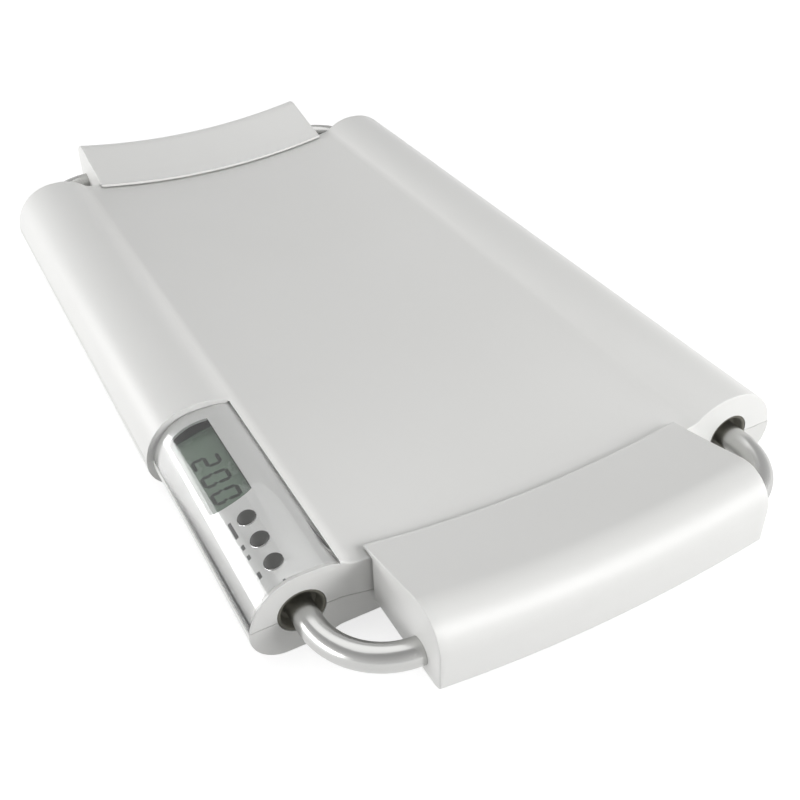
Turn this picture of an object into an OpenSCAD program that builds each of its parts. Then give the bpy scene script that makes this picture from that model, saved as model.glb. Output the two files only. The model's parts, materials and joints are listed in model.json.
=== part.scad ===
// A digital baby scale. A cradle tray lies between two round rails, a console is let into the
// near end of the left rail, and an end block at each end slides out on a bent steel tube.
// X runs across the tray, +Y towards the far end and +Z up. The origin is on the floor, under
// the middle of the tray. All sizes are in millimetres.

/* [Body] */
// Length of the body between its two flat end faces
body_l = 502; // [460:1:560]
// Distance between the axes of a tube's two legs
tube_spacing = 280; // [276:1:300]
// Height of the tubes' axes above the floor
tube_z = 33; // [32:0.5:36]
// Thickness of the walls of the cover and the base
wall = 2.6; // [2.2:0.1:3]
// Open seam between the cover and the base
seam_gap = 0.4; // [0.2:0.1:0.6]
// Depth of the seam below the tubes' axes
seam_drop = 2; // [1:0.5:3]
// Further drop of the seam in the middle of the end faces
seam_dip = 4.5; // [3:0.5:6]

/* [Rails and tray] */
// Radius of a rail's rounded top
rail_r = 34; // [33:0.5:35]
// Width of the level crest between a rail's two roundings
rail_flat = 3.5; // [2:0.5:6]
// Depth of the rail roundings' centres below the tubes' axes
rail_drop = 5.7; // [5:0.1:6.4]
// Height of the tray's lowest line above the tubes' axes
tray_low = 8.5; // [8:0.5:10]
// Half the width over which the tray sags
tray_half = 105; // [104:0.5:106]
// Sag of the tray over that width
tray_sag = 9.5; // [8:0.5:10.5]
// Radius of the hollow blend between the tray and a rail
tray_blend = 13; // [10:1:18]
// Radius of the rounding under a rail's outer side
base_r = 20; // [18:0.5:21]
// Rise of the underside between the rails
belly_rise = 4; // [3:0.5:5]
// Depth of the stiffening ribs under the tray
rib_h = 6; // [4:0.5:7]
// Thickness of the ribs
rib_t = 1.8; // [1.4:0.1:2.4]

/* [Console] */
// Length of the console along the rail
console_l = 153; // [151:1:160]
// Depth of the console's surface below the rail's
console_inset = 4; // [3.8:0.1:4.4]
// Width of the level crest of the console
console_flat = 9.5; // [8:0.5:10]
// Distance from the tube's axis to the console's inner edge
console_edge = 22.5; // [22:0.5:23.5]
// Tilt of the display and the buttons, in degrees
console_tilt = 14; // [13:0.5:15]
// Thickness of the clear lens
lens_t = 1.1; // [0.9:0.1:1.2]
// Thickness of the silver panel under the lens
panel_t = 1.6; // [1.4:0.1:1.8]
// Width of the display window
window_w = 26.4; // [25:0.1:26.6]
// Length of the display window
window_l = 70; // [68:0.2:71]
// Distance from the near end face to the window
window_y = 72.8; // [72:0.2:74]
// Offset of the window from the keys' line, towards the rail's outer side
window_out = 2.5; // [2.2:0.1:2.7]
// Diameter of a button
button_d = 10; // [9:0.5:11]
// Distance between two buttons
button_pitch = 18; // [16:0.5:18]
// Distance from the near end face to the nearest button
button_y = 16.8; // [16:0.1:18]
// Height of a button's dome above the lens
button_rise = 1.6; // [1.2:0.1:2]
// Travel of a button
button_travel = 0.7; // [0.5:0.1:0.8]

/* [End blocks] */
// Width of an end block
block_w = 202; // [180:1:203]
// Distance from the body's end face to the block's outer face
block_out = 70; // [69:0.5:76]
// Gap between the body's end face and the block
block_gap = 2; // [1:0.5:3]
// Length of the lip that covers the tray's edge
lip_l = 8; // [6:0.5:12]
// Thickness of that lip
lip_t = 2.4; // [1.8:0.1:3]
// Clearance between the lip and the tray
lip_clear = 0.9; // [0.6:0.1:1.4]
// Height of the block's crest above the tray
crest_h = 15.3; // [14:0.1:18]
// Radius of the block's outer top edge
crest_r = 20; // [18:0.5:22]
// Depth of the block below the tray
block_down = 27; // [26.5:0.5:29]
// Thickness of the block's walls
block_wall = 2.6; // [2:0.1:3]
// How far a block slides out
travel = 60; // [40:1:75]

/* [Tubes] */
// Outer diameter of a tube
tube_d = 15; // [14:0.1:15.5]
// Thickness of a tube's wall
tube_wall = 1.2; // [1:0.1:1.5]
// Radius of a tube's bends, at its axis
bend_r = 41; // [40:0.5:43]
// Straight length between the end face and a bend
stub_l = 10; // [9:0.5:12]
// Radial clearance of a tube in its bushes
slide_clear = 0.06; // [0.03:0.01:0.1]
// Diameter of a rubber grommet in the end face
grommet_d = 27; // [26:0.5:28]
// Length of a guide bush
bush_l = 40; // [34:1:46]
// Thickness of a guide bush's wall
bush_t = 1.7; // [1.4:0.1:1.9]

/* [Feet and load cells] */
// Distance of a foot from the middle, across the tray
foot_x = 100; // [94:1:101]
// Distance of a foot's centre from the end face
foot_in = 46; // [44:1:60]
// Diameter of a rubber foot pad
foot_d = 30; // [26:1:32]
// Thickness of a foot pad
pad_t = 4.2; // [3:0.1:4.5]
// Side of the square steel load cell
cell_w = 34; // [32:0.5:35]
// Thickness of the load cell's plate
cell_t = 1.6; // [1.2:0.1:2]
// Height of the ledges that carry the load cell
ledge_h = 2.5; // [2:0.1:3.5]

/* [Battery bay] */
// Distance of the bay's middle from the tray's middle, towards the far end
bay_y = 40; // [35:1:45]
// Inner width of the bay
bay_w = 66.4; // [64:0.1:68]
// Inner length of the bay
bay_l = 56; // [55:0.5:57]
// Diameter of a cell
aa_d = 14.5; // [14:0.1:14.6]
// Length of a cell without its nub
aa_l = 49.5; // [49:0.1:50]
// Thickness of the battery cover
bay_cover_t = 2.2; // [2:0.1:2.4]
// Radius of the battery cover's hinge pins
pin_r = 1.2; // [1:0.1:1.3]

/* [Fasteners] */
// Diameter of a screw's shank
screw_d = 3; // [2.5:0.1:3]
// Diameter of a screw's head
head_d = 6; // [5:0.1:6]
// Height of a screw's head
head_h = 2.2; // [1.8:0.1:2.4]

/* [Hidden] */
$fn = 64;
end_y = body_l / 2;
tube_x = tube_spacing / 2;
tube_r = tube_d / 2;
seam_z = tube_z - seam_drop;
rail_cz = tube_z - rail_drop;
crest_out_x = tube_x - 1;
crest_in_x = crest_out_x - rail_flat;
tray_z = tube_z + tray_low;
tray_r = (tray_half * tray_half + tray_sag * tray_sag) / (2 * tray_sag);
tray_cz = tray_z + tray_r;
base_cx = crest_out_x + rail_r - base_r;
base_z = rail_cz - base_r;
belly_out_x = tube_x - 8;
belly_in_x = tube_x - 22;
belly_z = base_z + belly_rise;
floor_z = belly_z + wall;
seam_out_x = tube_x - 22;
seam_in_x = tube_x - 42;
far = 2000;
joint_gap = 0.1;
clear = 0.3;
pin_clear = 0.05;
rabbet_t = 1.2;
rabbet_h = 2;
belly_steps = 6;
rib_pitch = 60;
rib_x = 60;
rib_turn = asin((tray_half - 8) / tray_r);
ledge_w = 3;
tray_centre = [0, tray_cz];
crest_in = [crest_in_x, rail_cz];
crest_out = [crest_out_x, rail_cz];
blend_centre = meet(tray_centre, tray_r - tray_blend, crest_in, rail_r + tray_blend);
tray_turn = angle_of(blend_centre - tray_centre);
blend_turn = angle_of(crest_in - blend_centre);

console_r = rail_r - console_inset;
console_in = [crest_out_x - console_flat, rail_cz];
console_edge_x = tube_x - console_edge;
console_y = -end_y + console_l;
console_ledge_z = tray_z - 1;
panel_r = console_r - lens_t - joint_gap;
inside_r = panel_r - panel_t;
board_t = 1.6;
board_w = 30 + window_out;
board_u = -window_out / 2;
board_z = 15.6;
board_top = board_z + board_t;
board_near_y = -end_y + 13;
board_far_y = console_y + 2;
lcd_w = window_w + 2.4;
lcd_l = window_l + 4;
lcd_t = 2;
strip_h = 1.2;
strip_w = 2.2;
lcd_z = board_top + strip_h;
lcd_top = lcd_z + lcd_t;
window_mid_y = -end_y + window_y + window_l / 2;
button_r = button_d / 2;
flange_r = button_r + 1.1;
flange_t = 1;
flange_top = inside_r - 1.3;
switch_w = 6;
switch_h = 3.5;
switch_top = board_top + switch_h;
plunger_r = 1.7;
plunger_rise = 0.5;
plunger_l = 1;
stem_z = switch_top + plunger_rise;
button_ys = [for (i = [0:2]) -end_y + button_y + i * button_pitch];
post_r = 2.4;
post_x = board_w / 2 - 2;
post_ys = [board_near_y + 6, -end_y + window_y - 9, board_far_y - 4.5];

block_turn = 12;
crest_d = block_out - crest_r;
crest_cz = crest_h - crest_r;
ramp_turn = 14;
ramp_mid = 16;
corner_r = 3;
plate_t = 2.4;
cross_d = stub_l + bend_r;
cross_y = -end_y - cross_d;
saddle_x = 60;
saddle_w = 14;
saddle_d = 30;
strap_under = 3;
strap_screw_d = 11.5;
plate_screw_xs = [-85, -30, 30, 85];
plate_screw_d = 20;
plate_screw_l = 11;
strap_z = tube_z - tube_r - strap_under;
strap_screw_r = 1.25;
strap_screw_l = 17;
boss_r = 4;

bush_r = tube_r + slide_clear;
bush_out_r = bush_r + bush_t;
grommet_r = grommet_d / 2;
grommet_l = 10;
grommet_flange_r = grommet_r + 1.5;
grommet_flange_t = 2;
funnel_l = 6;
funnel_r = grommet_r - 2.2;
bush_y = end_y - grommet_l - 0.5;
bush_flange_t = 2;
bush_flange_r = bush_out_r + 1.8;
bush_end_y = bush_y - bush_l;
leg_end_y = bush_end_y - travel - clear;
plug_flange_r = bush_out_r + 0.2;
plug_flange_t = 3;
plug_l = 12;
saddle_ys = [bush_y - 8, bush_end_y + 5];
saddle_half = 15;

foot_y = end_y - foot_in;
foot_hole_r = 7;
foot_post_r = 5;
cup_r = foot_d / 2 + 1;
cup_t = 4.3;
pad_round = 1.4;
cell_z = floor_z + ledge_h;
cell_top = cell_z + cell_t;
retainer_t = 2.5;
ear_y = 20.5;
ear_r = 4;
slot_w = 1.6;
tongue_w = 12;

bay_wall = 2.4;
bay_top = floor_z + aa_d + 1.4;
bay_roof = bay_top + 2;
aa_z = floor_z + aa_d / 2 + 0.9;
aa_pitch = 15;
aa_xs = [for (i = [-1.5:1:1.5]) i * aa_pitch];
nub_l = 1;
nub_r = 2.7;
contact_t = 0.4;
contact_w = 12;
spring_wire = 0.8;
spring_turns = 3;
hinge_y = bay_y + bay_l / 2 - 2.4;
hinge_z = floor_z - 0.7;
pin_l = 1.5;
pin_hole_l = 1.9;
stop_z = belly_z + bay_cover_t + joint_gap;
lead_xs = [aa_xs[0], aa_xs[3]];
latch_w = 16;
latch_l = 9;

main_w = 70;
main_l = 45;
main_y = -60;
main_z = floor_z + 4;
main_posts = [for (i = [-1, 1], j = [-1, 1]) [i * (main_w / 2 - 4), main_y + j * (main_l / 2 - 4)]];
screw_r = screw_d / 2;
head_r = head_d / 2;
small_r = 1;
small_head_r = 1.9;
small_head_h = 1.3;
small_screw_l = 5;
body_screws_at = [for (j = [-1, 1]) each [[-90, j * 150], [90, j * 150], [0, j * (end_y - 26)]],
                  [-90, 0], [90, 0]];
boss_z = belly_z + 12.7;
head_seat = belly_z + 6;
body_screw_l = 19;
lead_r = 0.7;
flex_r = 1.1;
lead_z = floor_z + lead_r + 0.3;
display_lead_y = console_y - 27;

// ---- Helpers -------------------------------------------------------------------------------

// Points on an arc from angle a to angle b
function arc(centre, r, a, b, steps) =
    [for (i = [0:steps]) centre + r * [cos(a + (b - a) * i / steps), sin(a + (b - a) * i / steps)]];
function flip(points) = [for (i = [len(points) - 1:-1:0]) [-points[i].x, points[i].y]];
function angle_of(v) = atan2(v.y, v.x);
// Where a circle round p and a circle round q meet, to the right of the way from p to q
function meet(p, rp, q, rq) =
    let (d = norm(q - p), u = (q - p) / d, a = (rp * rp - rq * rq + d * d) / (2 * d))
    p + a * u + sqrt(rp * rp - a * a) * [u.y, -u.x];
// Height above the floor of what lies h above the tray's lowest line and follows its sag
function sag_z(h, x) = tray_cz - sqrt((tray_r - h) * (tray_r - h) - x * x);

// A prism between two places along Y, its outline given in X and Z
module along_y(y0, y1) {
    translate([0, y1, 0]) rotate([90, 0, 0]) linear_extrude(y1 - y0) children();
}

module rod_y(x, z, y0, y1, r) {
    translate([x, y1, z]) rotate([90, 0, 0]) cylinder(r = r, h = y1 - y0);
}

module rod_x(y, z, x0, x1, r) {
    translate([x0, y, z]) rotate([0, 90, 0]) cylinder(r = r, h = x1 - x0);
}

// A cross-head screw that points up, with the underside of its head at zero
module screw(length, r, head, height) {
    difference() {
        union() {
            cylinder(r = r, h = length);
            translate([0, 0, -height]) cylinder(r = head, h = height);
        }
        for (turn = [0, 90]) rotate(turn) translate([-head * 0.6, -head * 0.12, -height - 1])
            cube([head * 1.2, head * 0.24, 1 + height / 2]);
    }
}

module small_screw(length) {
    screw(length, small_r, small_head_r, small_head_h);
}

// Closes a row of rings into one solid. Seen against the way that the row runs, each ring's
// points go round anticlockwise.
module skin(rings) {
    n = len(rings[0]);
    m = len(rings) - 1;
    polyhedron(
        points = [for (ring = rings) each ring],
        faces = concat(
            [[for (k = [0:n - 1]) k], [for (k = [n - 1:-1:0]) m * n + k]],
            [for (s = [0:m - 1], k = [0:n - 1]) let (a = s * n, b = a + n, j = (k + 1) % n)
                each [[a + k, b + k, a + j], [a + j, b + k, b + j]]]));
}

// A cable through a list of points: each ring lies in the plane that halves its bend
function unit(v) = v / norm(v);
function run_of(points, i) = unit(points[i + 1] - points[i]);
function bend_plane(points, i) = i == len(points) - 1 ? run_of(points, i - 1)
    : unit(run_of(points, i - 1) + run_of(points, i));
function first_ring(points, r, sides) =
    let (d = run_of(points, 0), a = unit(cross(d, [0, 0, 1])), b = cross(d, a))
    [for (k = [0:sides - 1]) points[0] + r * (cos(360 * k / sides) * a + sin(360 * k / sides) * b)];
function cable_rings(points, ring, i = 0) = i == len(points) - 1 ? [ring]
    : let (d = run_of(points, i), n = bend_plane(points, i + 1))
    concat([ring],
           cable_rings(points, [for (p = ring) p + d * ((points[i + 1] - p) * n) / (d * n)], i + 1));

module cable(points, r) {
    skin(cable_rings(points, first_ring(points, r, 12)));
}

// What stands at the far right corner, moved to the corner on side i (1 right) and end j (1 far)
module corner(i, j) {
    mirror([i < 0 ? 1 : 0, 0, 0]) mirror([0, j < 0 ? 1 : 0, 0]) children();
}

module each_corner() {
    for (i = [-1, 1], j = [-1, 1]) corner(i, j) children();
}

// ---- The body's outline --------------------------------------------------------------------

// Each half outline runs from the middle of the tray, round a rail, to the middle of the
// underside. inset moves every face inwards by that much.
function tray_line(inset) = arc(tray_centre, tray_r + inset, -90, tray_turn, 10);
function rail_line(inset) = concat(
    arc(blend_centre, tray_blend + inset, tray_turn, blend_turn, 5),
    arc(crest_in, rail_r - inset, blend_turn + 180, 90, 8),
    arc(crest_out, rail_r - inset, 90, 0, 16));
function console_line(inset) = concat(
    arc(console_in, console_r - inset,
        180 - acos((console_in.x - console_edge_x) / (console_r - inset)), 90, 6),
    arc(crest_out, console_r - inset, 90, 0, 16));
function base_line(inset, shift) = concat(
    arc([base_cx - shift, rail_cz], base_r - inset, 0, -90, 12),
    [for (i = [0:belly_steps]) [
        belly_out_x + (belly_in_x - belly_out_x) * i / belly_steps,
        base_z + inset + belly_rise * (1 - cos(180 * i / belly_steps)) / 2]]);
function rail_half(inset) = concat(tray_line(inset), rail_line(inset), base_line(inset, 0));
function console_half(inset) =
    concat(tray_line(inset), console_line(inset), base_line(inset, console_inset));

module rail_section(inset) {
    polygon(concat(rail_half(inset), flip(rail_half(inset))));
}

module console_section(inset) {
    polygon(concat(rail_half(inset), flip(console_half(inset))));
}

// The part of the console's section that its panel and lens cover
module console_arch(inset) {
    polygon(flip(concat([[console_edge_x, rail_cz]], console_line(inset))));
}

// The closed form of the whole body
module body_form(inset) {
    along_y(console_y + inset, end_y - inset) rail_section(inset);
    along_y(-end_y + inset, console_y + inset + joint_gap) console_section(inset);
}

// All that lies above the seam, which dips in the middle
module above_seam(shift) {
    along_y(-far, far) polygon([
        [-far, seam_z + shift], [-seam_out_x, seam_z + shift],
        [-seam_in_x, seam_z - seam_dip + shift], [seam_in_x, seam_z - seam_dip + shift],
        [seam_out_x, seam_z + shift], [far, seam_z + shift], [far, far], [-far, far]]);
}

module console_zone(y0, y1, x1 = -console_edge_x) {
    translate([-far, y0, seam_z - seam_dip - wall]) cube([far + x1, y1 - y0, far]);
}

// A frame whose Z axis is square to the display and the buttons
module at_console(y) {
    translate([-crest_out_x, y, rail_cz]) rotate([0, -console_tilt, 0]) children();
}

// The same, over the middle of the display
module at_display() {
    at_console(window_mid_y) translate([-window_out, 0, 0]) children();
}

module grommet_holes() {
    for (i = [-1, 1], j = [-1, 1])
        rod_y(i * tube_x, tube_z, j * end_y - 2 * wall, j * end_y + 2 * wall, grommet_r + joint_gap);
}

module bush_holes() {
    each_corner() rod_y(tube_x, tube_z, bush_end_y - clear, bush_y + clear, bush_out_r + joint_gap);
}

// A band on the inner side of the wall at the seam, for the base's tongue in the cover's rabbet
module rabbet(inset, top) {
    difference() {
        intersection() {
            body_form(inset);
            above_seam(-rabbet_h / 2);
        }
        body_form(wall + clear);
        above_seam(top);
        console_zone(-far, console_y + 2 * wall);
    }
}

// ---- Cover, base and console ---------------------------------------------------------------

module tray_ribs() {
    for (k = [-3:3]) along_y(k * rib_pitch - rib_t / 2, k * rib_pitch + rib_t / 2)
        polygon(concat(
            arc(tray_centre, tray_r + wall / 2, -90 - rib_turn, -90 + rib_turn, 12),
            arc(tray_centre, tray_r + wall + rib_h, -90 + rib_turn, -90 - rib_turn, 12)));
    for (x = [-rib_x, rib_x])
        translate([x - rib_t / 2, 12 - end_y, sag_z(-wall - rib_h, rib_x)])
            cube([rib_t, body_l - 24, rib_h + wall / 2]);
}

module upper_saddles() {
    for (c = [[1, -1], [1, 1], [-1, 1]], y = saddle_ys)
        translate([c.x * tube_x - saddle_half, c.y * y - rib_t / 2, tube_z + joint_gap])
            cube([2 * saddle_half, rib_t, rail_r]);
}

module top_cover() color("white") difference() {
    union() {
        difference() {
            intersection() {
                body_form(0);
                above_seam(seam_gap / 2);
            }
            body_form(wall);
            console_zone(wall - end_y, console_y);
        }
        tray_ribs();
        intersection() {
            body_form(wall / 2);
            union() {
                upper_saddles();
                for (p = body_screws_at) translate([p.x, p.y, boss_z + joint_gap])
                    cylinder(r = boss_r, h = rail_r);
                translate([-console_edge_x, wall / 2 - end_y, console_ledge_z])
                    cube([rib_t, console_l, rail_r]);
            }
        }
        intersection() {
            body_form(console_r - inside_r + joint_gap);
            translate([-console_edge_x - ledge_w, wall / 2 - end_y, console_ledge_z])
                cube([ledge_w + rib_t / 2, console_l, rail_r]);
        }
    }
    // Seat of the lens on the near end wall
    along_y(-far, wall + joint_gap - end_y) difference() {
        translate([-far, seam_z - wall]) square([far - console_edge_x, far]);
        console_arch(console_r - panel_r);
    }
    rabbet(rabbet_t, rabbet_h);
    grommet_holes();
    bush_holes();
    for (p = body_screws_at) translate([p.x, p.y, boss_z - 1])
        cylinder(r = screw_r + pin_clear, h = body_screw_l - boss_z + head_seat + 2);
}

module lower_saddles() {
    for (i = [-1, 1], j = [-1, 1], y = saddle_ys)
        translate([i * tube_x - saddle_half, j * y - rib_t / 2, base_z])
            cube([2 * saddle_half, rib_t, tube_z - joint_gap - base_z]);
}

module cell_seats() {
    each_corner() translate([foot_x, foot_y, floor_z - wall / 2]) {
        for (i = [-1, 1]) translate([i * (cell_w / 2 - ledge_w / 2) - ledge_w / 2, -cell_w / 2, 0])
            cube([ledge_w, cell_w, wall / 2 + ledge_h]);
        for (i = [-1, 1]) translate([0, i * ear_y, 0])
            cylinder(r = ear_r - 1, h = wall / 2 + ledge_h + cell_t);
    }
}

module bay_block(w, l, z0, z1) {
    translate([-w / 2, bay_y - l / 2, z0]) cube([w, l, z1 - z0]);
}

module display_posts() {
    for (y = post_ys, i = [-1, 1]) at_console(y) translate([board_u + i * post_x, 0, board_z - far / 40])
        cylinder(r = post_r, h = far / 40);
}

module base_inside() {
    intersection() {
        body_form(wall / 2);
        union() {
            lower_saddles();
            display_posts();
        }
    }
    cell_seats();
    for (p = body_screws_at) translate([p.x, p.y, belly_z + wall / 2])
        cylinder(r = head_r + wall, h = boss_z - belly_z - wall / 2);
    for (p = main_posts) translate([p.x, p.y, floor_z - wall / 2])
        cylinder(r = post_r, h = main_z - floor_z + wall / 2);
    bay_block(bay_w + 2 * bay_wall, bay_l + 2 * bay_wall, belly_z + wall / 2, bay_roof);
}

module bay_space() {
    difference() {
        bay_block(bay_w, bay_l, 0, bay_top);
        // Stops for the battery cover
        for (i = [-1, 1]) translate([i * (bay_w / 2 - 1) - 1.5, bay_y - bay_l / 2, stop_z])
            cube([3, 4, 2]);
    }
    for (i = [-1, 1]) rod_x(hinge_y, hinge_z, i * bay_w / 2 - pin_hole_l, i * bay_w / 2 + pin_hole_l,
                            pin_r + pin_clear);
    for (x = lead_xs) rod_y(x, aa_z, bay_y - bay_l / 2 - 2 * bay_wall, bay_y, lead_r + clear);
}

module base_shell() color("whitesmoke") difference() {
    union() {
        difference() {
            body_form(0);
            body_form(wall);
            above_seam(-seam_gap / 2);
        }
        difference() {
            rabbet(rabbet_t + joint_gap, rabbet_h - clear);
            body_form(wall);
        }
        base_inside();
    }
    grommet_holes();
    bush_holes();
    bay_space();
    each_corner() translate([foot_x, foot_y, 0]) {
        cylinder(r = foot_hole_r, h = cell_z);
        for (i = [-1, 1]) translate([0, i * ear_y, floor_z])
            cylinder(r = small_r + pin_clear, h = ledge_h + cell_t + 1);
    }
    for (p = body_screws_at) translate([p.x, p.y, 0]) {
        cylinder(r = head_r + clear, h = head_seat);
        cylinder(r = screw_r + clear, h = boss_z + 1);
    }
    for (p = main_posts) translate([p.x, p.y, floor_z]) cylinder(r = small_r + pin_clear, h = main_z);
    for (y = post_ys, i = [-1, 1]) at_console(y)
        translate([board_u + i * post_x, 0, board_z - small_screw_l])
            cylinder(r = small_r + pin_clear, h = small_screw_l + 1);
}

module console_holes(extra) {
    for (y = button_ys) at_console(y) cylinder(r = button_r + extra, h = console_r + 5);
}

module console_shell(outer, inner, y0) {
    intersection() {
        along_y(y0, console_y - clear) difference() {
            console_arch(outer);
            console_arch(inner);
        }
        translate([-far, -far, seam_z + seam_gap / 2])
            cube([far - console_edge_x - joint_gap, 2 * far, far]);
    }
}

module console_panel() color("silver") difference() {
    console_shell(console_r - panel_r, console_r - inside_r, wall + 2 * joint_gap - end_y);
    console_holes(clear);
    at_display() translate([-window_w / 2, -window_l / 2, lcd_top]) cube([window_w, window_l, console_r]);
}

module console_lens() color([0.85, 0.88, 0.9, 0.5]) difference() {
    console_shell(0, lens_t, -end_y);
    console_holes(clear);
}

module lcd_frame() color([0.12, 0.12, 0.12]) at_display() difference() {
    intersection() {
        translate([-lcd_w / 2, -lcd_l / 2, lcd_top]) cube([lcd_w, lcd_l, console_r]);
        rod_y(window_out, 0, -lcd_l, lcd_l, inside_r - joint_gap);
    }
    translate([-window_w / 2, -window_l / 2, 0]) cube([window_w, window_l, 2 * console_r]);
}

module lcd_glass() color([0.55, 0.6, 0.53]) at_display()
    translate([-lcd_w / 2, -lcd_l / 2, lcd_z]) cube([lcd_w, lcd_l, lcd_t]);

module lcd_contact_strips() color("dimgray") at_display() for (i = [-1, 1])
    translate([i * (lcd_w / 2 - strip_w) - strip_w / 2, -window_l / 2, board_top])
        cube([strip_w, window_l, strip_h]);

module display_board() color("darkgreen") difference() {
    at_console(board_near_y) translate([board_u - board_w / 2, 0, board_z])
        cube([board_w, board_far_y - board_near_y, board_t]);
    for (y = post_ys, i = [-1, 1]) at_console(y) translate([board_u + i * post_x, 0, 0])
        cylinder(r = small_r + joint_gap, h = console_r);
}

module switch_bodies() color([0.25, 0.25, 0.25]) for (y = button_ys) at_console(y) difference() {
    translate([-switch_w / 2, -switch_w / 2, board_top]) cube([switch_w, switch_w, switch_h]);
    translate([0, 0, switch_top - plunger_l - button_travel - joint_gap])
        cylinder(r = plunger_r + clear, h = switch_h);
}

module plunger(i) {
    color("black") at_console(button_ys[i]) translate([0, 0, switch_top - plunger_l])
        cylinder(r = plunger_r, h = plunger_l + plunger_rise);
}

// A round key with a domed top, a flange under the panel and a stem down to its switch
module button(i) {
    edge = console_r + 0.5;
    rise = button_rise - 0.5;
    dome_r = (button_r * button_r + rise * rise) / (2 * rise);
    color([0.3, 0.3, 0.31]) at_console(button_ys[i]) rotate_extrude() polygon(concat(
        [[0, stem_z], [plunger_r, stem_z], [plunger_r, flange_top - flange_t],
         [flange_r, flange_top - flange_t], [flange_r, flange_top], [button_r, flange_top]],
        arc([0, edge + rise - dome_r], dome_r, acos(button_r / dome_r), 90, 8)));
}

// ---- Boards and wiring ---------------------------------------------------------------------

module main_board() color("darkgreen") difference() {
    translate([-main_w / 2, main_y - main_l / 2, main_z]) cube([main_w, main_l, board_t]);
    for (p = main_posts) translate([p.x, p.y, 0]) cylinder(r = small_r + joint_gap, h = 2 * main_z);
}

module board_parts() color([0.15, 0.15, 0.16]) translate([0, main_y, main_z + board_t]) {
    translate([-8, -8, 0]) cube([14, 14, 1.6]);
    translate([12, -4, 0]) cube([9, 5, 1.5]);
    translate([-26, -6, 0]) cube([7, 12, 5]);
    translate([-6, 12, 0]) cube([16, 6, 5]);
    for (x = [14, 24]) translate([x, -13, 0]) cylinder(r = 2.5, h = 6);
}

module cell_leads() color("firebrick") {
    edge_x = foot_x - cell_w / 2 - joint_gap;
    edge_z = cell_z + cell_t / 2;
    board_x = main_w / 2 + joint_gap;
    board_mid_z = main_z + board_t / 2;
    for (i = [-1, 1], j = [-1, 1]) {
        run_x = j < 0 ? 46 : 50;
        plug_y = main_y + j * 12;
        cable([[i * edge_x, j * foot_y, edge_z], [i * (edge_x - 3), j * foot_y, edge_z],
               [i * (edge_x - 7), j * foot_y, lead_z], [i * run_x, j * foot_y, lead_z],
               [i * run_x, plug_y, lead_z], [i * (board_x + 5), plug_y, board_mid_z],
               [i * board_x, plug_y, board_mid_z]], lead_r);
    }
}

// The lead from the main board to the long edge of the display board
module display_lead() color("gray") {
    along = [cos(console_tilt), sin(console_tilt)];
    edge = [-crest_out_x, rail_cz] + (board_u + board_w / 2) * along
        + (board_z + board_t / 2) * [-along.y, along.x];
    end = edge + joint_gap * along;
    riser = edge + 4.5 * along;
    board_mid_z = main_z + board_t / 2;
    cable([[-main_w / 2 - joint_gap, main_y, board_mid_z], [-main_w / 2 - 4, main_y, board_mid_z],
           [-main_w / 2 - 8, main_y, lead_z + 0.5], [riser.x + 16, main_y, lead_z + 0.5],
           [riser.x, display_lead_y, lead_z + 1.2], [riser.x, display_lead_y, riser.y],
           [end.x, display_lead_y, end.y]], flex_r);
}

module battery_leads() color("firebrick") {
    near_y = bay_y - bay_l / 2;
    board_y = main_y + main_l / 2;
    board_mid_z = main_z + board_t / 2;
    for (x = lead_xs) cable([[x, near_y - joint_gap, aa_z], [x, near_y - 8, aa_z],
        [x, board_y + 5, board_mid_z], [x, board_y + joint_gap, board_mid_z]], lead_r);
}

// ---- Battery bay ---------------------------------------------------------------------------

module batteries() color("goldenrod") for (k = [0:3]) translate([aa_xs[k], bay_y, aa_z])
    mirror([0, k % 2, 0]) {
        tip = bay_l / 2 - contact_t - joint_gap;
        rod_y(0, 0, tip - nub_l - aa_l, tip - nub_l, aa_d / 2);
        rod_y(0, 0, tip - nub_l, tip, nub_r);
    }

module battery_contacts() color("silver") for (x = aa_xs, j = [-1, 1])
    translate([x, bay_y + j * (bay_l - contact_t) / 2, aa_z])
        cube([contact_w, contact_t, contact_w], center = true);

// A conical spring: one wire, wound from the wide end at zero to the narrow end
module cone_spring(length, wide, narrow) {
    steps = spring_turns * 10;
    wire_r = spring_wire / 2;
    skin([for (s = [0:steps]) let (t = s / steps, a = 360 * spring_turns * t)
        [for (k = [0:5]) let (r = wide + (narrow - wide) * t + wire_r * cos(60 * k))
            [r * cos(a), r * sin(a), wire_r + (length - spring_wire) * t - wire_r * sin(60 * k)]]]);
}

module battery_springs() color("silver") for (k = [0:3]) translate([aa_xs[k], bay_y, aa_z])
    mirror([0, k % 2, 0]) translate([0, contact_t + joint_gap - bay_l / 2, 0]) rotate([-90, 0, 0])
        cone_spring(bay_l - 2 * contact_t - 3 * joint_gap - nub_l - aa_l, 5, 3);

module battery_cover() color("whitesmoke") difference() {
    union() {
        translate([clear - bay_w / 2, bay_y - bay_l / 2 + clear, belly_z])
            cube([bay_w - 2 * clear, hinge_y + 1 - bay_y + bay_l / 2 - clear, bay_cover_t]);
        rod_x(hinge_y, hinge_z, -bay_w / 2 - pin_l, bay_w / 2 + pin_l, pin_r);
    }
    // The latch tongue's two slots and its finger grip
    for (i = [-1, 1]) translate([i * latch_w / 2 - 0.5, bay_y - bay_l / 2 - 1, 0])
        cube([1, latch_l, far]);
    for (k = [0:2]) rod_x(bay_y - bay_l / 2 + 2.5 + 2 * k, belly_z, 2 - latch_w / 2, latch_w / 2 - 2, 0.6);
}

// ---- Feet and load cells -------------------------------------------------------------------

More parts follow.
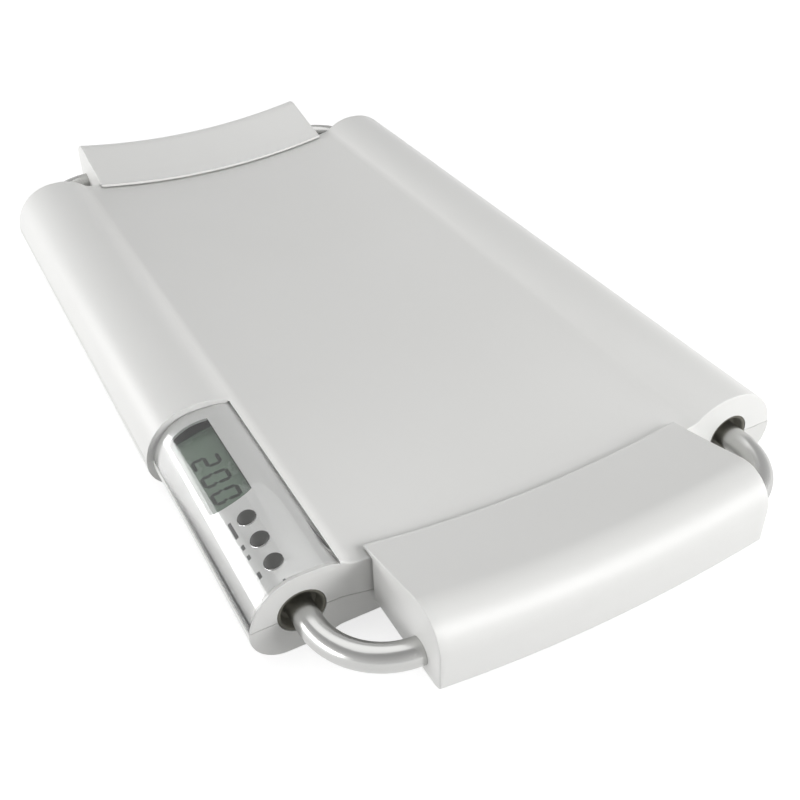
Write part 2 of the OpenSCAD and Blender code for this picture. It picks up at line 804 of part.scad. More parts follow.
// A square half-bridge plate: the foot bears on the tongue in its middle
module load_cell() color("lightgray") translate([foot_x, foot_y, cell_z]) {
    difference() {
        translate([-cell_w / 2, -cell_w / 2, 0]) cube([cell_w, cell_w, cell_t]);
        for (i = [-1, 1]) translate([i * (tongue_w + slot_w) / 2 - slot_w / 2, -cell_w / 3, -1])
            cube([slot_w, 2 * cell_w / 3, cell_t + 2]);
        translate([-tongue_w / 2 - slot_w, cell_w / 3 - slot_w, -1])
            cube([tongue_w + 2 * slot_w, slot_w, cell_t + 2]);
    }
    translate([-2.5, -cell_w / 3, cell_t]) cube([5, 4, 0.6]);
}

module cell_retainers() color("whitesmoke") each_corner() translate([foot_x, foot_y, cell_top]) difference() {
    union() {
        translate([-cell_w / 2 - 1, -cell_w / 2 + 1, 0]) cube([cell_w + 2, cell_w - 2, retainer_t]);
        for (i = [-1, 1]) translate([0, i * ear_y, 0]) cylinder(r = ear_r, h = retainer_t);
        translate([-ear_r, -ear_y, 0]) cube([2 * ear_r, 2 * ear_y, retainer_t]);
    }
    translate([-cell_w / 2 + 4, -cell_w / 2 + 5, -1]) cube([cell_w - 8, cell_w - 10, retainer_t + 2]);
    for (i = [-1, 1]) translate([0, i * ear_y, -1]) cylinder(r = small_r + joint_gap, h = retainer_t + 2);
}

module foot_cup() color("whitesmoke") translate([foot_x, foot_y, 0]) {
    translate([0, 0, pad_t]) cylinder(r = cup_r, h = cup_t);
    translate([0, 0, pad_t + cup_t]) cylinder(r = foot_post_r, h = cell_z - pad_t - cup_t);
}

module foot_pad() color([0.2, 0.2, 0.2]) translate([foot_x, foot_y, 0]) rotate_extrude()
    polygon(concat([[0, 0]], arc([foot_d / 2 - pad_round, pad_round], pad_round, -90, 0, 6),
                   [[foot_d / 2, pad_t], [0, pad_t]]));

// ---- Tubes ---------------------------------------------------------------------------------

module grommet() color([0.28, 0.27, 0.23]) translate([tube_x, end_y, tube_z]) rotate([90, 0, 0])
    rotate_extrude() polygon([
        [grommet_r, clear], [grommet_r, wall + joint_gap], [grommet_flange_r, wall + joint_gap],
        [grommet_flange_r, wall + joint_gap + grommet_flange_t],
        [bush_flange_r, wall + joint_gap + grommet_flange_t], [bush_flange_r, grommet_l],
        [bush_r, grommet_l], [bush_r, funnel_l], [funnel_r - 0.5, funnel_l], [funnel_r, clear]]);

module bush() color("gray") difference() {
    union() {
        rod_y(tube_x, tube_z, bush_end_y, bush_y, bush_out_r);
        rod_y(tube_x, tube_z, bush_y - bush_flange_t, bush_y, bush_flange_r);
    }
    rod_y(tube_x, tube_z, bush_end_y - 1, bush_y + 1, bush_r);
}

// The solid line of a tube, at the near end
module tube_line(r, over) {
    for (i = [-1, 1]) {
        rod_y(i * tube_x, tube_z, -end_y - stub_l, -leg_end_y + over, r);
        mirror([i < 0 ? 1 : 0, 0, 0]) translate([tube_x - bend_r, -end_y - stub_l, tube_z])
            rotate(-90) rotate_extrude(angle = 90) translate([bend_r, 0]) circle(r = r);
    }
    rod_x(cross_y, tube_z, bend_r - tube_x, tube_x - bend_r, r);
}

module tube() color([0.75, 0.75, 0.74]) difference() {
    tube_line(tube_r, 0);
    tube_line(tube_r - tube_wall, 1);
}

module leg_plugs() color([0.2, 0.2, 0.2]) for (i = [-1, 1]) {
    rod_y(i * tube_x, tube_z, -leg_end_y, plug_flange_t - leg_end_y, plug_flange_r);
    rod_y(i * tube_x, tube_z, -leg_end_y - plug_l, -leg_end_y, tube_r - tube_wall - pin_clear);
}

// ---- End blocks, drawn at the near end -----------------------------------------------------

// Outline across a block: X is the distance out from the end face, Y the height above the tray
function ramp(inset) =
    let (a = [lip_t / 2 - lip_l, lip_clear + lip_t - inset],
         c = [crest_d, crest_cz] + (crest_r - inset) * [-sin(ramp_turn), cos(ramp_turn)],
         b = [ramp_mid, c.y - (c.x - ramp_mid) * tan(ramp_turn)])
    [for (i = [0:9]) let (t = i / 10) (1 - t) * (1 - t) * a + 2 * t * (1 - t) * b + t * t * c];
function block_outline(inset, depth) = concat(
    [[block_gap + inset, -depth], [block_gap + inset, lip_clear]],
    arc([lip_t / 2 - lip_l, lip_clear + lip_t / 2], lip_t / 2, -90, -270, 6),
    ramp(inset),
    arc([crest_d, crest_cz], crest_r - inset, 90 + ramp_turn, 0, 12),
    arc([block_out - inset - corner_r, corner_r - depth], corner_r, 0, -90, 4));

// Sweeps an outline across the tray, along its sag
module block_sweep() {
    translate([0, 0, tray_cz]) rotate([0, 90, 0]) rotate([90, 0, 0]) rotate(-block_turn)
        rotate_extrude(angle = 2 * block_turn, $fn = 360) children();
}

function swept(points) = [for (p = points) [tray_r - p.y, end_y + p.x]];

module block_form(inset, depth) {
    intersection() {
        block_sweep() intersection() {
            polygon(swept(block_outline(inset, depth)));
            if (inset > 0) translate([0, end_y + block_gap + inset]) square([2 * tray_r, block_out]);
        }
        translate([inset - block_w / 2, -far, -far]) cube([block_w - 2 * inset, 2 * far, 2 * far]);
    }
}

module block_shell() color("white") difference() {
    union() {
        difference() {
            block_form(0, block_down);
            block_form(block_wall, block_down + corner_r + 1);
        }
        intersection() {
            block_form(block_wall / 2, block_down - plate_t - joint_gap);
            union() {
                for (i = [-1, 1])
                    translate([i * saddle_x - saddle_w / 2, cross_y - saddle_d / 2, tube_z])
                        cube([saddle_w, saddle_d, rail_r]);
                for (x = plate_screw_xs) translate([x, -end_y - plate_screw_d, 0])
                    cylinder(r = boss_r, h = tray_z + rail_r);
            }
        }
    }
    rod_x(cross_y, tube_z, -block_w, block_w, tube_r + pin_clear);
    for (x = plate_screw_xs) translate([x, -end_y - plate_screw_d, 0])
        cylinder(r = screw_r + pin_clear, h = plate_screw_z(x) + plate_screw_l + 1);
    for (i = [-1, 1], k = [-1, 1]) translate([i * saddle_x, cross_y + k * strap_screw_d, tube_z - 1])
        cylinder(r = strap_screw_r + pin_clear, h = strap_screw_l - strap_under - tube_r + 2);
}

function plate_screw_z(x) = sag_z(plate_t / 2 - block_down, x);

module block_plate() color("whitesmoke") difference() {
    intersection() {
        block_sweep() translate([tray_r + block_down - plate_t, end_y + block_gap + block_wall + clear])
            square([plate_t, block_out - block_gap - 2 * block_wall - 2 * clear]);
        translate([block_wall + clear - block_w / 2, -far, -far])
            cube([block_w - 2 * block_wall - 2 * clear, 2 * far, 2 * far]);
    }
    for (x = plate_screw_xs) translate([x, -end_y - plate_screw_d, 0]) {
        cylinder(r = screw_r + clear, h = tray_z);
        cylinder(r = head_r + clear, h = plate_screw_z(x));
    }
}

module tube_straps() color("gray") for (i = [-1, 1]) difference() {
    translate([i * saddle_x - saddle_w / 2, cross_y - saddle_d / 2, strap_z])
        cube([saddle_w, saddle_d, tube_z - joint_gap - strap_z]);
    rod_x(cross_y, tube_z, i * saddle_x - saddle_w, i * saddle_x + saddle_w, tube_r + pin_clear);
    for (k = [-1, 1]) translate([i * saddle_x, cross_y + k * strap_screw_d, 0])
        cylinder(r = strap_screw_r + clear, h = tube_z);
}

module block_screws() color("lightgray") {
    for (x = plate_screw_xs) translate([x, -end_y - plate_screw_d, plate_screw_z(x)])
        screw(plate_screw_l, screw_r, head_r, head_h);
    for (i = [-1, 1], k = [-1, 1]) translate([i * saddle_x, cross_y + k * strap_screw_d, strap_z])
        screw(strap_screw_l, strap_screw_r, 2 * strap_screw_r, strap_screw_r);
}

// ---- Fasteners -----------------------------------------------------------------------------

module body_screws() color("lightgray") for (p = body_screws_at) translate([p.x, p.y, head_seat])
    screw(body_screw_l, screw_r, head_r, head_h);

module inner_screws() color("lightgray") {
    for (p = main_posts) translate([p.x, p.y, main_z + board_t]) rotate([180, 0, 0])
        small_screw(small_screw_l);
    each_corner() for (i = [-1, 1]) translate([foot_x, foot_y + i * ear_y, cell_top + retainer_t])
        rotate([180, 0, 0]) small_screw(small_screw_l);
    for (y = post_ys, i = [-1, 1]) at_console(y) translate([board_u + i * post_x, 0, board_top])
        rotate([180, 0, 0]) small_screw(small_screw_l);
}

// ---- The nodes -----------------------------------------------------------------------------

top_cover();
base_shell();
console_panel();
console_lens();
lcd_frame();
lcd_glass();
lcd_contact_strips();
display_board();
switch_bodies();
button(2);  // unit_button
button(1);  // tare_button
button(0);  // power_button
plunger(2);  // unit_plunger
plunger(1);  // tare_plunger
plunger(0);  // power_plunger
main_board();
board_parts();
cell_leads();
display_lead();
battery_leads();
battery_contacts();
battery_springs();
batteries();
battery_cover();
corner(-1, -1) load_cell();  // front_left_cell
corner(1, -1) load_cell();  // front_right_cell
corner(-1, 1) load_cell();  // rear_left_cell
corner(1, 1) load_cell();  // rear_right_cell
cell_retainers();
corner(-1, -1) foot_cup();  // front_left_foot_cup
corner(1, -1) foot_cup();  // front_right_foot_cup
corner(-1, 1) foot_cup();  // rear_left_foot_cup
corner(1, 1) foot_cup();  // rear_right_foot_cup
corner(-1, -1) foot_pad();  // front_left_foot_pad
corner(1, -1) foot_pad();  // front_right_foot_pad
corner(-1, 1) foot_pad();  // rear_left_foot_pad
corner(1, 1) foot_pad();  // rear_right_foot_pad
corner(-1, -1) grommet();  // front_left_grommet
corner(1, -1) grommet();  // front_right_grommet
corner(-1, 1) grommet();  // rear_left_grommet
corner(1, 1) grommet();  // rear_right_grommet
corner(-1, -1) bush();  // front_left_bush
corner(1, -1) bush();  // front_right_bush
corner(-1, 1) bush();  // rear_left_bush
corner(1, 1) bush();  // rear_right_bush
tube();  // front_tube
mirror([0, 1, 0]) tube();  // rear_tube
leg_plugs();  // front_leg_plugs
mirror([0, 1, 0]) leg_plugs();  // rear_leg_plugs
block_shell();  // front_block_shell
mirror([0, 1, 0]) block_shell();  // rear_block_shell
block_plate();  // front_block_plate
mirror([0, 1, 0]) block_plate();  // rear_block_plate
tube_straps();  // front_tube_straps
mirror([0, 1, 0]) tube_straps();  // rear_tube_straps
block_screws();  // front_block_screws
mirror([0, 1, 0]) block_screws();  // rear_block_screws
body_screws();
inner_screws();
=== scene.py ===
# %% [markdown]
# # A digital baby scale, dressed in Blender
#
# The scale has a cradle tray between two round rails, a small console let into the near end of the
# left rail, and an end block at each end that slides out on a bent steel tube. A CAD program has
# already fixed where each solid is and what it moves with. This lesson loads those solids, draws
# the outer shells again with soft edges, adds the display's figures and gives everything a finish.

# %% Load the solids and measure them
import json
import math
import bmesh
import bpy
from mathutils import Matrix, Vector


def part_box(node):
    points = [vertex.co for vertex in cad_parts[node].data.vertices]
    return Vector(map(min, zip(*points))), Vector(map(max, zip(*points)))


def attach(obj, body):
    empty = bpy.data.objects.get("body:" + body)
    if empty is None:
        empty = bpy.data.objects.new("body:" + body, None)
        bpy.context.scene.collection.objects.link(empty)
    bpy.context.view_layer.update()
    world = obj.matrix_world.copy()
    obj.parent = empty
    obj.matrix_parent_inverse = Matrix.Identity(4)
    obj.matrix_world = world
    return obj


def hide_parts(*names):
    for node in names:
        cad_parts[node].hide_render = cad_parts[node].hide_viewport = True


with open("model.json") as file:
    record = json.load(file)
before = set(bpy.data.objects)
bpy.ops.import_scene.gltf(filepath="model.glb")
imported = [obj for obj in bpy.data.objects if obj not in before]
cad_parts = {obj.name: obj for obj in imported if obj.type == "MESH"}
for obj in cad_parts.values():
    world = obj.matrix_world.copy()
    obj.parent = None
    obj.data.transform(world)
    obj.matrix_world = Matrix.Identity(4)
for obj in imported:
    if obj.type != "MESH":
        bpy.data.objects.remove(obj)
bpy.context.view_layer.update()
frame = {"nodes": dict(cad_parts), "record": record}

# %% [markdown]
# ## The camera
#
# The picture was taken from above, from the near left. A camera can be turned by hand until the
# edges line up, but here its place, its three turns and its focal length came from measuring the
# rails and the tubes in the picture, so they're set as numbers.

# %% Camera
def place_camera():
    yaw, pitch, roll = 0.481618, 0.647224, -0.0260224
    ahead = Vector((math.sin(yaw) * math.cos(pitch), math.cos(yaw) * math.cos(pitch), -math.sin(pitch)))
    right = Vector((math.cos(yaw), -math.sin(yaw), 0))
    up = right.cross(ahead)
    level = Matrix((right, up, -ahead)).transposed().to_4x4()
    turned = level @ Matrix.Rotation(roll, 4, "Z")
    bpy.ops.object.camera_add()
    camera = bpy.context.object
    camera.name = "camera"
    camera.matrix_world = Matrix.Translation((-0.256744, -0.586015, 0.428822)) @ turned
    camera.data.sensor_width = 36
    camera.data.lens = 46.566
    camera.data.clip_start = 0.01
    return camera

bpy.context.scene.camera = place_camera()
print("camera:", [round(v, 3) for v in bpy.context.scene.camera.location])

# %% [markdown]
# ## Drawing like a draughtsman
#
# The shells of the scale are long prisms and sweeps. Each can be drawn as a real designer draws
# it: one point is put down, straight runs are extruded from it, and round corners are spun about
# their centres. These helpers name those moves. All their lengths are in millimetres.

# %% Helpers for drawing
ALONG_X, ALONG_Y, ALONG_Z = (-1, 0, 0), (0, 1, 0), (0, 0, -1)

def at(x, y, z):
    return Vector((x, y, z)) / 1000

def rest():
    if bpy.context.object and bpy.context.object.mode != "OBJECT":
        bpy.ops.object.mode_set(mode="OBJECT")
    bpy.ops.object.select_all(action="DESELECT")

def take(piece):
    rest()
    piece.select_set(True)
    bpy.context.view_layer.objects.active = piece
    return piece

def edit(piece):
    take(piece)
    bpy.ops.object.mode_set(mode="EDIT")

def pick(kind, test):
    """In edit mode, select only the vertices, edges or faces that pass a test of their middle and way."""
    bpy.ops.mesh.select_mode(type=kind)
    bpy.ops.mesh.select_all(action="DESELECT")
    mesh = bmesh.from_edit_mesh(bpy.context.object.data)
    if kind == "VERT":
        for v in mesh.verts:
            v.select = bool(test(v.co * 1000, v.normal))
    elif kind == "EDGE":
        for e in mesh.edges:
            a, b = (v.co * 1000 for v in e.verts)
            e.select = bool(test((a + b) / 2, (b - a).normalized()))
    else:
        for f in mesh.faces:
            f.select = bool(test(f.calc_center_median() * 1000, f.normal))
    mesh.select_flush_mode()
    bmesh.update_edit_mesh(bpy.context.object.data)

def near(a, b, slack=0.02):
    return abs(a - b) < slack

def put_point(name, point):
    """A new piece that is one selected point, in edit mode."""
    rest()
    bpy.ops.mesh.primitive_plane_add(size=0.001)
    bpy.context.object.name = bpy.context.object.data.name = name
    bpy.ops.object.mode_set(mode="EDIT")
    bpy.ops.mesh.select_mode(type="VERT")
    bpy.ops.mesh.merge(type="CENTER")
    bpy.ops.transform.translate(value=at(*point))
    return bpy.context.object

def run(x, y, z):
    bpy.ops.mesh.extrude_region_move(TRANSFORM_OT_translate={"value": at(x, y, z)})

def run_to(start, *points):
    """Straight runs from start through the points; returns the last."""
    for point in points:
        run(*(b - a for a, b in zip(start, point)))
        start = point
    return start

def turn(centre, degrees, steps, axis=ALONG_Y):
    bpy.ops.mesh.spin(steps=steps, angle=math.radians(degrees), center=at(*centre), axis=axis)

def weld():
    bpy.ops.mesh.select_all(action="SELECT")
    bpy.ops.mesh.remove_doubles(threshold=0.00001)

def outwards():
    weld()
    bpy.ops.mesh.normals_make_consistent(inside=False)

def use(piece, kind, **settings):
    """Adds a modifier with its settings and applies it."""
    take(piece)
    change = piece.modifiers.new(kind.lower(), kind)
    for key, value in settings.items():
        setattr(change, key, value)
    bpy.ops.object.modifier_apply(modifier=change.name)

def soften(width, segments=3):
    bpy.ops.mesh.bevel(offset=width / 1000, segments=segments, affect="EDGES", clamp_overlap=True)

def settle(piece, body, finish, stands_for=(), sharp=32):
    """Smooth shading, the finish, and the body that the piece moves with."""
    take(piece)
    bpy.ops.object.shade_smooth_by_angle(angle=math.radians(sharp), keep_sharp_edges=False)
    piece.data.materials.clear()
    piece.data.materials.append(finish)
    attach(piece, body)
    if stands_for:
        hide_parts(*stands_for)
    print(piece.name, "faces:", len(piece.data.polygons))

# %% [markdown]
# ## Sizes
#
# The same values as in the CAD source, in millimetres. Points that follow from others, such as
# where the tray's sag meets the hollow blend of a rail, are worked out here once.

# %% Sizes shared by the pieces
END, LEG_X, TUBE_Z, SEAM_Z = 251, 140, 33, 31
WALL, SEAM_GAP, SEAM_DIP = 2.6, 0.4, 4.5
RAIL_R, RAIL_FLAT, RAIL_Z, RAIL_X = 34, 3.5, 27.3, 139
TRAY_Z, TRAY_HALF, TRAY_SAG, BLEND_R = 41.5, 105, 9.5, 13
EDGE_X, STEP_Y, CONSOLE_R, CONSOLE_FLAT = -117.5, -98, 30, 9.5
GROMMET_R = 13.6
INNER_X = RAIL_X - RAIL_FLAT
TRAY_R = (TRAY_HALF ** 2 + TRAY_SAG ** 2) / (2 * TRAY_SAG)
TRAY_CZ = TRAY_Z + TRAY_R

def meet(p, rp, q, rq):
    """Where two circles in a drawing meet, on the right of the way from p to q."""
    way = q - p
    d = way.length
    a = (rp * rp - rq * rq + d * d) / (2 * d)
    u = way / d
    return p + a * u + math.sqrt(rp * rp - a * a) * Vector((u.y, -u.x))

def angle_of(v):
    return math.degrees(math.atan2(v.y, v.x))

BLEND = meet(Vector((0, TRAY_CZ)), TRAY_R - BLEND_R, Vector((INNER_X, RAIL_Z)), RAIL_R + BLEND_R)
TRAY_TURN = angle_of(BLEND - Vector((0, TRAY_CZ)))
BLEND_TURN = angle_of(Vector((INNER_X, RAIL_Z)) - BLEND)
EDGE_TURN = math.degrees(math.acos((INNER_X + EDGE_X) / RAIL_R))
print("blend centre:", [round(v, 2) for v in BLEND], "tray turn:", round(TRAY_TURN, 2))

# %% [markdown]
# ## Finishes
#
# Nearly everything here is moulded plastic, so two effects come back in many finishes: the fine
# grain of the mould, which only shows as a soft bump, and the slow change of gloss that hands and
# cloths leave. Each is a node group. It gives out heights and masks, and each finish then mixes
# them with its own colours. Metal gets a third group, fine lines from drawing or brushing.

# %% Node groups
def new_group(name, inputs, outputs):
    group = bpy.data.node_groups.new(name, "ShaderNodeTree")
    for label, value in inputs:
        socket = group.interface.new_socket(label, in_out="INPUT", socket_type="NodeSocketFloat")
        socket.default_value = value
    for label in outputs:
        group.interface.new_socket(label, in_out="OUTPUT", socket_type="NodeSocketFloat")
    return group, group.nodes.new("NodeGroupInput"), group.nodes.new("NodeGroupOutput")

def add(tree, kind, **settings):
    node = tree.nodes.new(kind)
    for key, value in settings.items():
        setattr(node, key, value)
    return node

def make_mould_grain():
    """Fine pebbling of a mould, with a coarser waviness under it."""
    group, given, out = new_group("mould_grain", [("Scale", 2500.0), ("Waviness", 0.15)], ["Height"])
    where = add(group, "ShaderNodeTexCoord")
    fine = add(group, "ShaderNodeTexNoise")
    fine.inputs["Detail"].default_value = 2
    wave = add(group, "ShaderNodeTexNoise")
    wave.inputs["Scale"].default_value = 60
    blend = add(group, "ShaderNodeMix", data_type="FLOAT")
    group.links.new(where.outputs["Object"], fine.inputs["Vector"])
    group.links.new(where.outputs["Object"], wave.inputs["Vector"])
    group.links.new(given.outputs["Scale"], fine.inputs["Scale"])
    group.links.new(given.outputs["Waviness"], blend.inputs[0])
    group.links.new(fine.outputs[0], blend.inputs[2])
    group.links.new(wave.outputs[0], blend.inputs[3])
    group.links.new(blend.outputs[0], out.inputs["Height"])
    return group

def make_handling():
    """A slow, cloudy mask for gloss and tint, from 0 to 1."""
    group, given, out = new_group("handling", [("Scale", 9.0), ("Sharpness", 0.35)], ["Mask"])
    where = add(group, "ShaderNodeTexCoord")
    cloud = add(group, "ShaderNodeTexNoise")
    cloud.inputs["Detail"].default_value = 5
    spread = add(group, "ShaderNodeMapRange", interpolation_type="SMOOTHSTEP")
    low = add(group, "ShaderNodeMath", operation="SUBTRACT")
    low.inputs[0].default_value = 0.5
    high = add(group, "ShaderNodeMath", operation="ADD")
    high.inputs[0].default_value = 0.5
    group.links.new(where.outputs["Object"], cloud.inputs["Vector"])
    group.links.new(given.outputs["Scale"], cloud.inputs["Scale"])
    group.links.new(given.outputs["Sharpness"], low.inputs[1])
    group.links.new(given.outputs["Sharpness"], high.inputs[1])
    group.links.new(cloud.outputs[0], spread.inputs["Value"])
    group.links.new(low.outputs[0], spread.inputs["From Min"])
    group.links.new(high.outputs[0], spread.inputs["From Max"])
    group.links.new(spread.outputs[0], out.inputs["Mask"])
    return group

def make_drawn_lines():
    """Fine lines along X, Y or Z: the stretch of each axis is an input."""
    group, given, out = new_group("drawn_lines", [("X", 900.0), ("Y", 40.0), ("Z", 900.0)], ["Height"])
    where = add(group, "ShaderNodeTexCoord")
    parts = add(group, "ShaderNodeSeparateXYZ")
    joined = add(group, "ShaderNodeCombineXYZ")
    lines = add(group, "ShaderNodeTexNoise")
    lines.inputs["Scale"].default_value = 1
    lines.inputs["Detail"].default_value = 3
    group.links.new(where.outputs["Object"], parts.inputs[0])
    for i, axis in enumerate("XYZ"):
        product = add(group, "ShaderNodeMath", operation="MULTIPLY")
        group.links.new(parts.outputs[i], product.inputs[0])
        group.links.new(given.outputs[axis], product.inputs[1])
        group.links.new(product.outputs[0], joined.inputs[i])
    group.links.new(joined.outputs[0], lines.inputs["Vector"])
    group.links.new(lines.outputs[0], out.inputs["Height"])
    return group

MOULD_GRAIN, HANDLING, DRAWN_LINES = make_mould_grain(), make_handling(), make_drawn_lines()
print("node groups:", sorted(g.name for g in bpy.data.node_groups))

# %% [markdown]
# ## One recipe for most finishes
#
# A finish mixes two close colours by the handling mask, moves its roughness between two values by
# the same mask, and puts the grain into a Bump node. What is the same all over, such as how
# metallic it is, is set on the Principled shader itself.

# %% The recipe
def new_finish(name, metallic=0.0, coat=0.0, specular=0.5):
    finish = bpy.data.materials.new(name)
    finish.use_nodes = True
    shader = finish.node_tree.nodes["Principled BSDF"]
    shader.inputs["Metallic"].default_value = metallic
    shader.inputs["Coat Weight"].default_value = coat
    shader.inputs["Specular IOR Level"].default_value = specular
    return finish, finish.node_tree, shader

def use_group(tree, group, **values):
    node = add(tree, "ShaderNodeGroup", node_tree=group)
    for key, value in values.items():
        node.inputs[key].default_value = value
    return node

def mix_colours(tree, mask, low, high):
    mix = add(tree, "ShaderNodeMix", data_type="RGBA")
    tree.links.new(mask, mix.inputs[0])
    for socket, colour in ((6, low), (7, high)):
        if isinstance(colour, tuple):
            mix.inputs[socket].default_value = (*colour, 1)
        else:
            tree.links.new(colour, mix.inputs[socket])
    return mix.outputs[2]

def spread(tree, value, low, high):
    reach = add(tree, "ShaderNodeMapRange")
    tree.links.new(value, reach.inputs["Value"])
    reach.inputs["To Min"].default_value = low
    reach.inputs["To Max"].default_value = high
    return reach.outputs[0]

def bump(tree, shader, height, strength, depth):
    relief = add(tree, "ShaderNodeBump")
    relief.inputs["Strength"].default_value = strength
    relief.inputs["Distance"].default_value = depth / 1000
    tree.links.new(height, relief.inputs["Height"])
    tree.links.new(relief.outputs[0], shader.inputs["Normal"])

def finish_of(name, colour, worn, rough, grain=2500.0, relief=0.12, depth=0.05, cloud=9.0,
              lines=None, **kind):
    finish, tree, shader = new_finish(name, **kind)
    mask = use_group(tree, HANDLING, Scale=cloud).outputs["Mask"]
    tree.links.new(mix_colours(tree, mask, colour, worn), shader.inputs["Base Color"])
    tree.links.new(spread(tree, mask, *rough), shader.inputs["Roughness"])
    surface = use_group(tree, DRAWN_LINES, **lines) if lines else use_group(tree, MOULD_GRAIN, Scale=grain)
    bump(tree, shader, surface.outputs["Height"], relief, depth)
    return finish

SHELL_WHITE = finish_of("shell_white", (0.80, 0.80, 0.785), (0.785, 0.785, 0.768), (0.34, 0.42),
                        grain=1800.0, relief=0.10)
GROMMET_RUBBER = finish_of("grommet_rubber", (0.135, 0.130, 0.105), (0.155, 0.150, 0.125), (0.6, 0.75),
                           grain=1500.0, relief=0.2)
TUBE_STEEL = finish_of("tube_steel", (0.54, 0.54, 0.53), (0.49, 0.49, 0.48), (0.20, 0.28), relief=0.05,
                       depth=0.02, lines={"X": 60.0, "Y": 60.0, "Z": 60.0}, metallic=1.0)
print("first finishes:", SHELL_WHITE.name, GROMMET_RUBBER.name, TUBE_STEEL.name)

# %% [markdown]
# ## The tray cover
#
# On the real scale this is one thin moulding: the sagging tray, both rails and the upper half of
# the end faces. A box with many loop cuts could be pushed into this shape, but the section is all
# arcs, so it's drawn as one line of arcs and pulled along the scale. The console's place stays
# open. The end faces are then closed along the seam and round the grommet holes, the rim gets a
# 2 mm rounding and the skin its 2.6 mm wall.

# %% Draw the cover's section and pull it along
COVER_Z = SEAM_Z + SEAM_GAP / 2
SIDE_TURN = math.degrees(math.asin((COVER_Z - RAIL_Z) / RAIL_R))
NOTCH_X = math.sqrt(GROMMET_R ** 2 - (TUBE_Z - COVER_Z) ** 2)
NOTCH_TURN = 180 + 2 * math.degrees(math.asin((TUBE_Z - COVER_Z) / GROMMET_R))
DIP_START, DIP_LOW = 118, 98
STEP_SHRINK, INNER_WALL, PANEL_DROP = 0.76, 9, 1.2

def rail_point(centre_x, degrees, radius=RAIL_R):
    a = math.radians(degrees)
    return centre_x + radius * math.cos(a), RAIL_Z + radius * math.sin(a)

def seam_line(y, start_x, end_x):
    """Along the seam of an end face, from left to right, over both grommet holes."""
    z, low = COVER_Z, COVER_Z - SEAM_DIP
    run_to((start_x, y, z), (-LEG_X - NOTCH_X, y, z))
    turn((-LEG_X, y, TUBE_Z), -NOTCH_TURN, 16)
    run_to((NOTCH_X - LEG_X, y, z), (-DIP_START, y, z), (-DIP_LOW, y, low), (DIP_LOW, y, low),
           (DIP_START, y, z), (LEG_X - NOTCH_X, y, z))
    turn((LEG_X, y, TUBE_Z), -NOTCH_TURN, 16)
    run_to((LEG_X + NOTCH_X, y, z), (end_x, y, z))

side_x, side_z = rail_point(RAIL_X, SIDE_TURN)
edge_z = rail_point(-INNER_X, EDGE_TURN)[1]
cover = put_point("tray_cover", (side_x, -END, side_z))
turn((RAIL_X, -END, RAIL_Z), 90 - SIDE_TURN, 18)
run(-RAIL_FLAT, 0, 0)
turn((INNER_X, -END, RAIL_Z), 90 + BLEND_TURN, 16)
turn((BLEND.x, -END, BLEND.y), TRAY_TURN - BLEND_TURN, 12)
turn((0, -END, TRAY_CZ), -180 - 2 * TRAY_TURN, 24)
turn((-BLEND.x, -END, BLEND.y), TRAY_TURN - BLEND_TURN, 12)
turn((-INNER_X, -END, RAIL_Z), EDGE_TURN + BLEND_TURN, 7)
bpy.ops.mesh.select_all(action="SELECT")
run(0, STEP_Y + END, 0)
run(0, END - STEP_Y, 0)
print("points in the cover:", len(bmesh.from_edit_mesh(cover.data).verts))

# %% [markdown]
# ### The left rail and the closed ends
#
# The left rail is only drawn beyond the console. At its near end a curved wall steps down to the
# console, and a straight wall runs along the console's inner edge.

# %% Finish the cover's skin
def only_point(x, y, z):
    pick("VERT", lambda p, n: near(p.x, x) and near(p.y, y) and near(p.z, z))

def left_rail(y):
    turn((-INNER_X, y, RAIL_Z), 90 - EDGE_TURN, 8)
    run(-RAIL_FLAT, 0, 0)
    turn((-RAIL_X, y, RAIL_Z), 90 - SIDE_TURN, 18)

only_point(EDGE_X, STEP_Y, edge_z)
left_rail(STEP_Y)
pick("VERT", lambda p, n: near(p.y, STEP_Y) and p.x < EDGE_X + 0.01)
run(0, END - STEP_Y, 0)
pick("VERT", lambda p, n: near(p.y, STEP_Y) and p.x < EDGE_X + 0.01)
bpy.ops.mesh.extrude_region_move()
bpy.ops.transform.resize(value=(STEP_SHRINK, 1, STEP_SHRINK), center_override=at(-RAIL_X, STEP_Y, RAIL_Z))
pick("EDGE", lambda p, way: near(p.x, EDGE_X) and p.y < STEP_Y and near(abs(way.y), 1))
run(0, 0, -INNER_WALL)

only_point(-side_x, END, side_z)
seam_line(END, -side_x, side_x)
weld()
pick("VERT", lambda p, n: near(p.y, END))
bpy.ops.mesh.edge_face_add()

PANEL_R = CONSOLE_R - PANEL_DROP
panel_turn = math.degrees(math.acos((RAIL_X - CONSOLE_FLAT + EDGE_X) / PANEL_R))
panel_edge = rail_point(CONSOLE_FLAT - RAIL_X, panel_turn, PANEL_R)
panel_end_turn = math.degrees(math.asin((COVER_Z - RAIL_Z) / PANEL_R))
only_point(EDGE_X, -END, edge_z)
run_to((EDGE_X, -END, edge_z), (EDGE_X, -END, panel_edge[1]))
turn((CONSOLE_FLAT - RAIL_X, -END, RAIL_Z), 90 - panel_turn, 8)
run(-CONSOLE_FLAT, 0, 0)
turn((-RAIL_X, -END, RAIL_Z), 90 - panel_end_turn, 16)
seam_line(-END, -rail_point(RAIL_X, panel_end_turn, PANEL_R)[0], side_x)
weld()
pick("VERT", lambda p, n: near(p.y, -END))
bpy.ops.mesh.edge_face_add()
outwards()
pick("EDGE", lambda p, way: near(abs(p.y), END) and near(way.y, 0))
soften(2, 4)
outwards()
use(cover, "SOLIDIFY", thickness=WALL / 1000, offset=-1, use_even_offset=True)
settle(cover, "body", SHELL_WHITE, ["top_cover"])

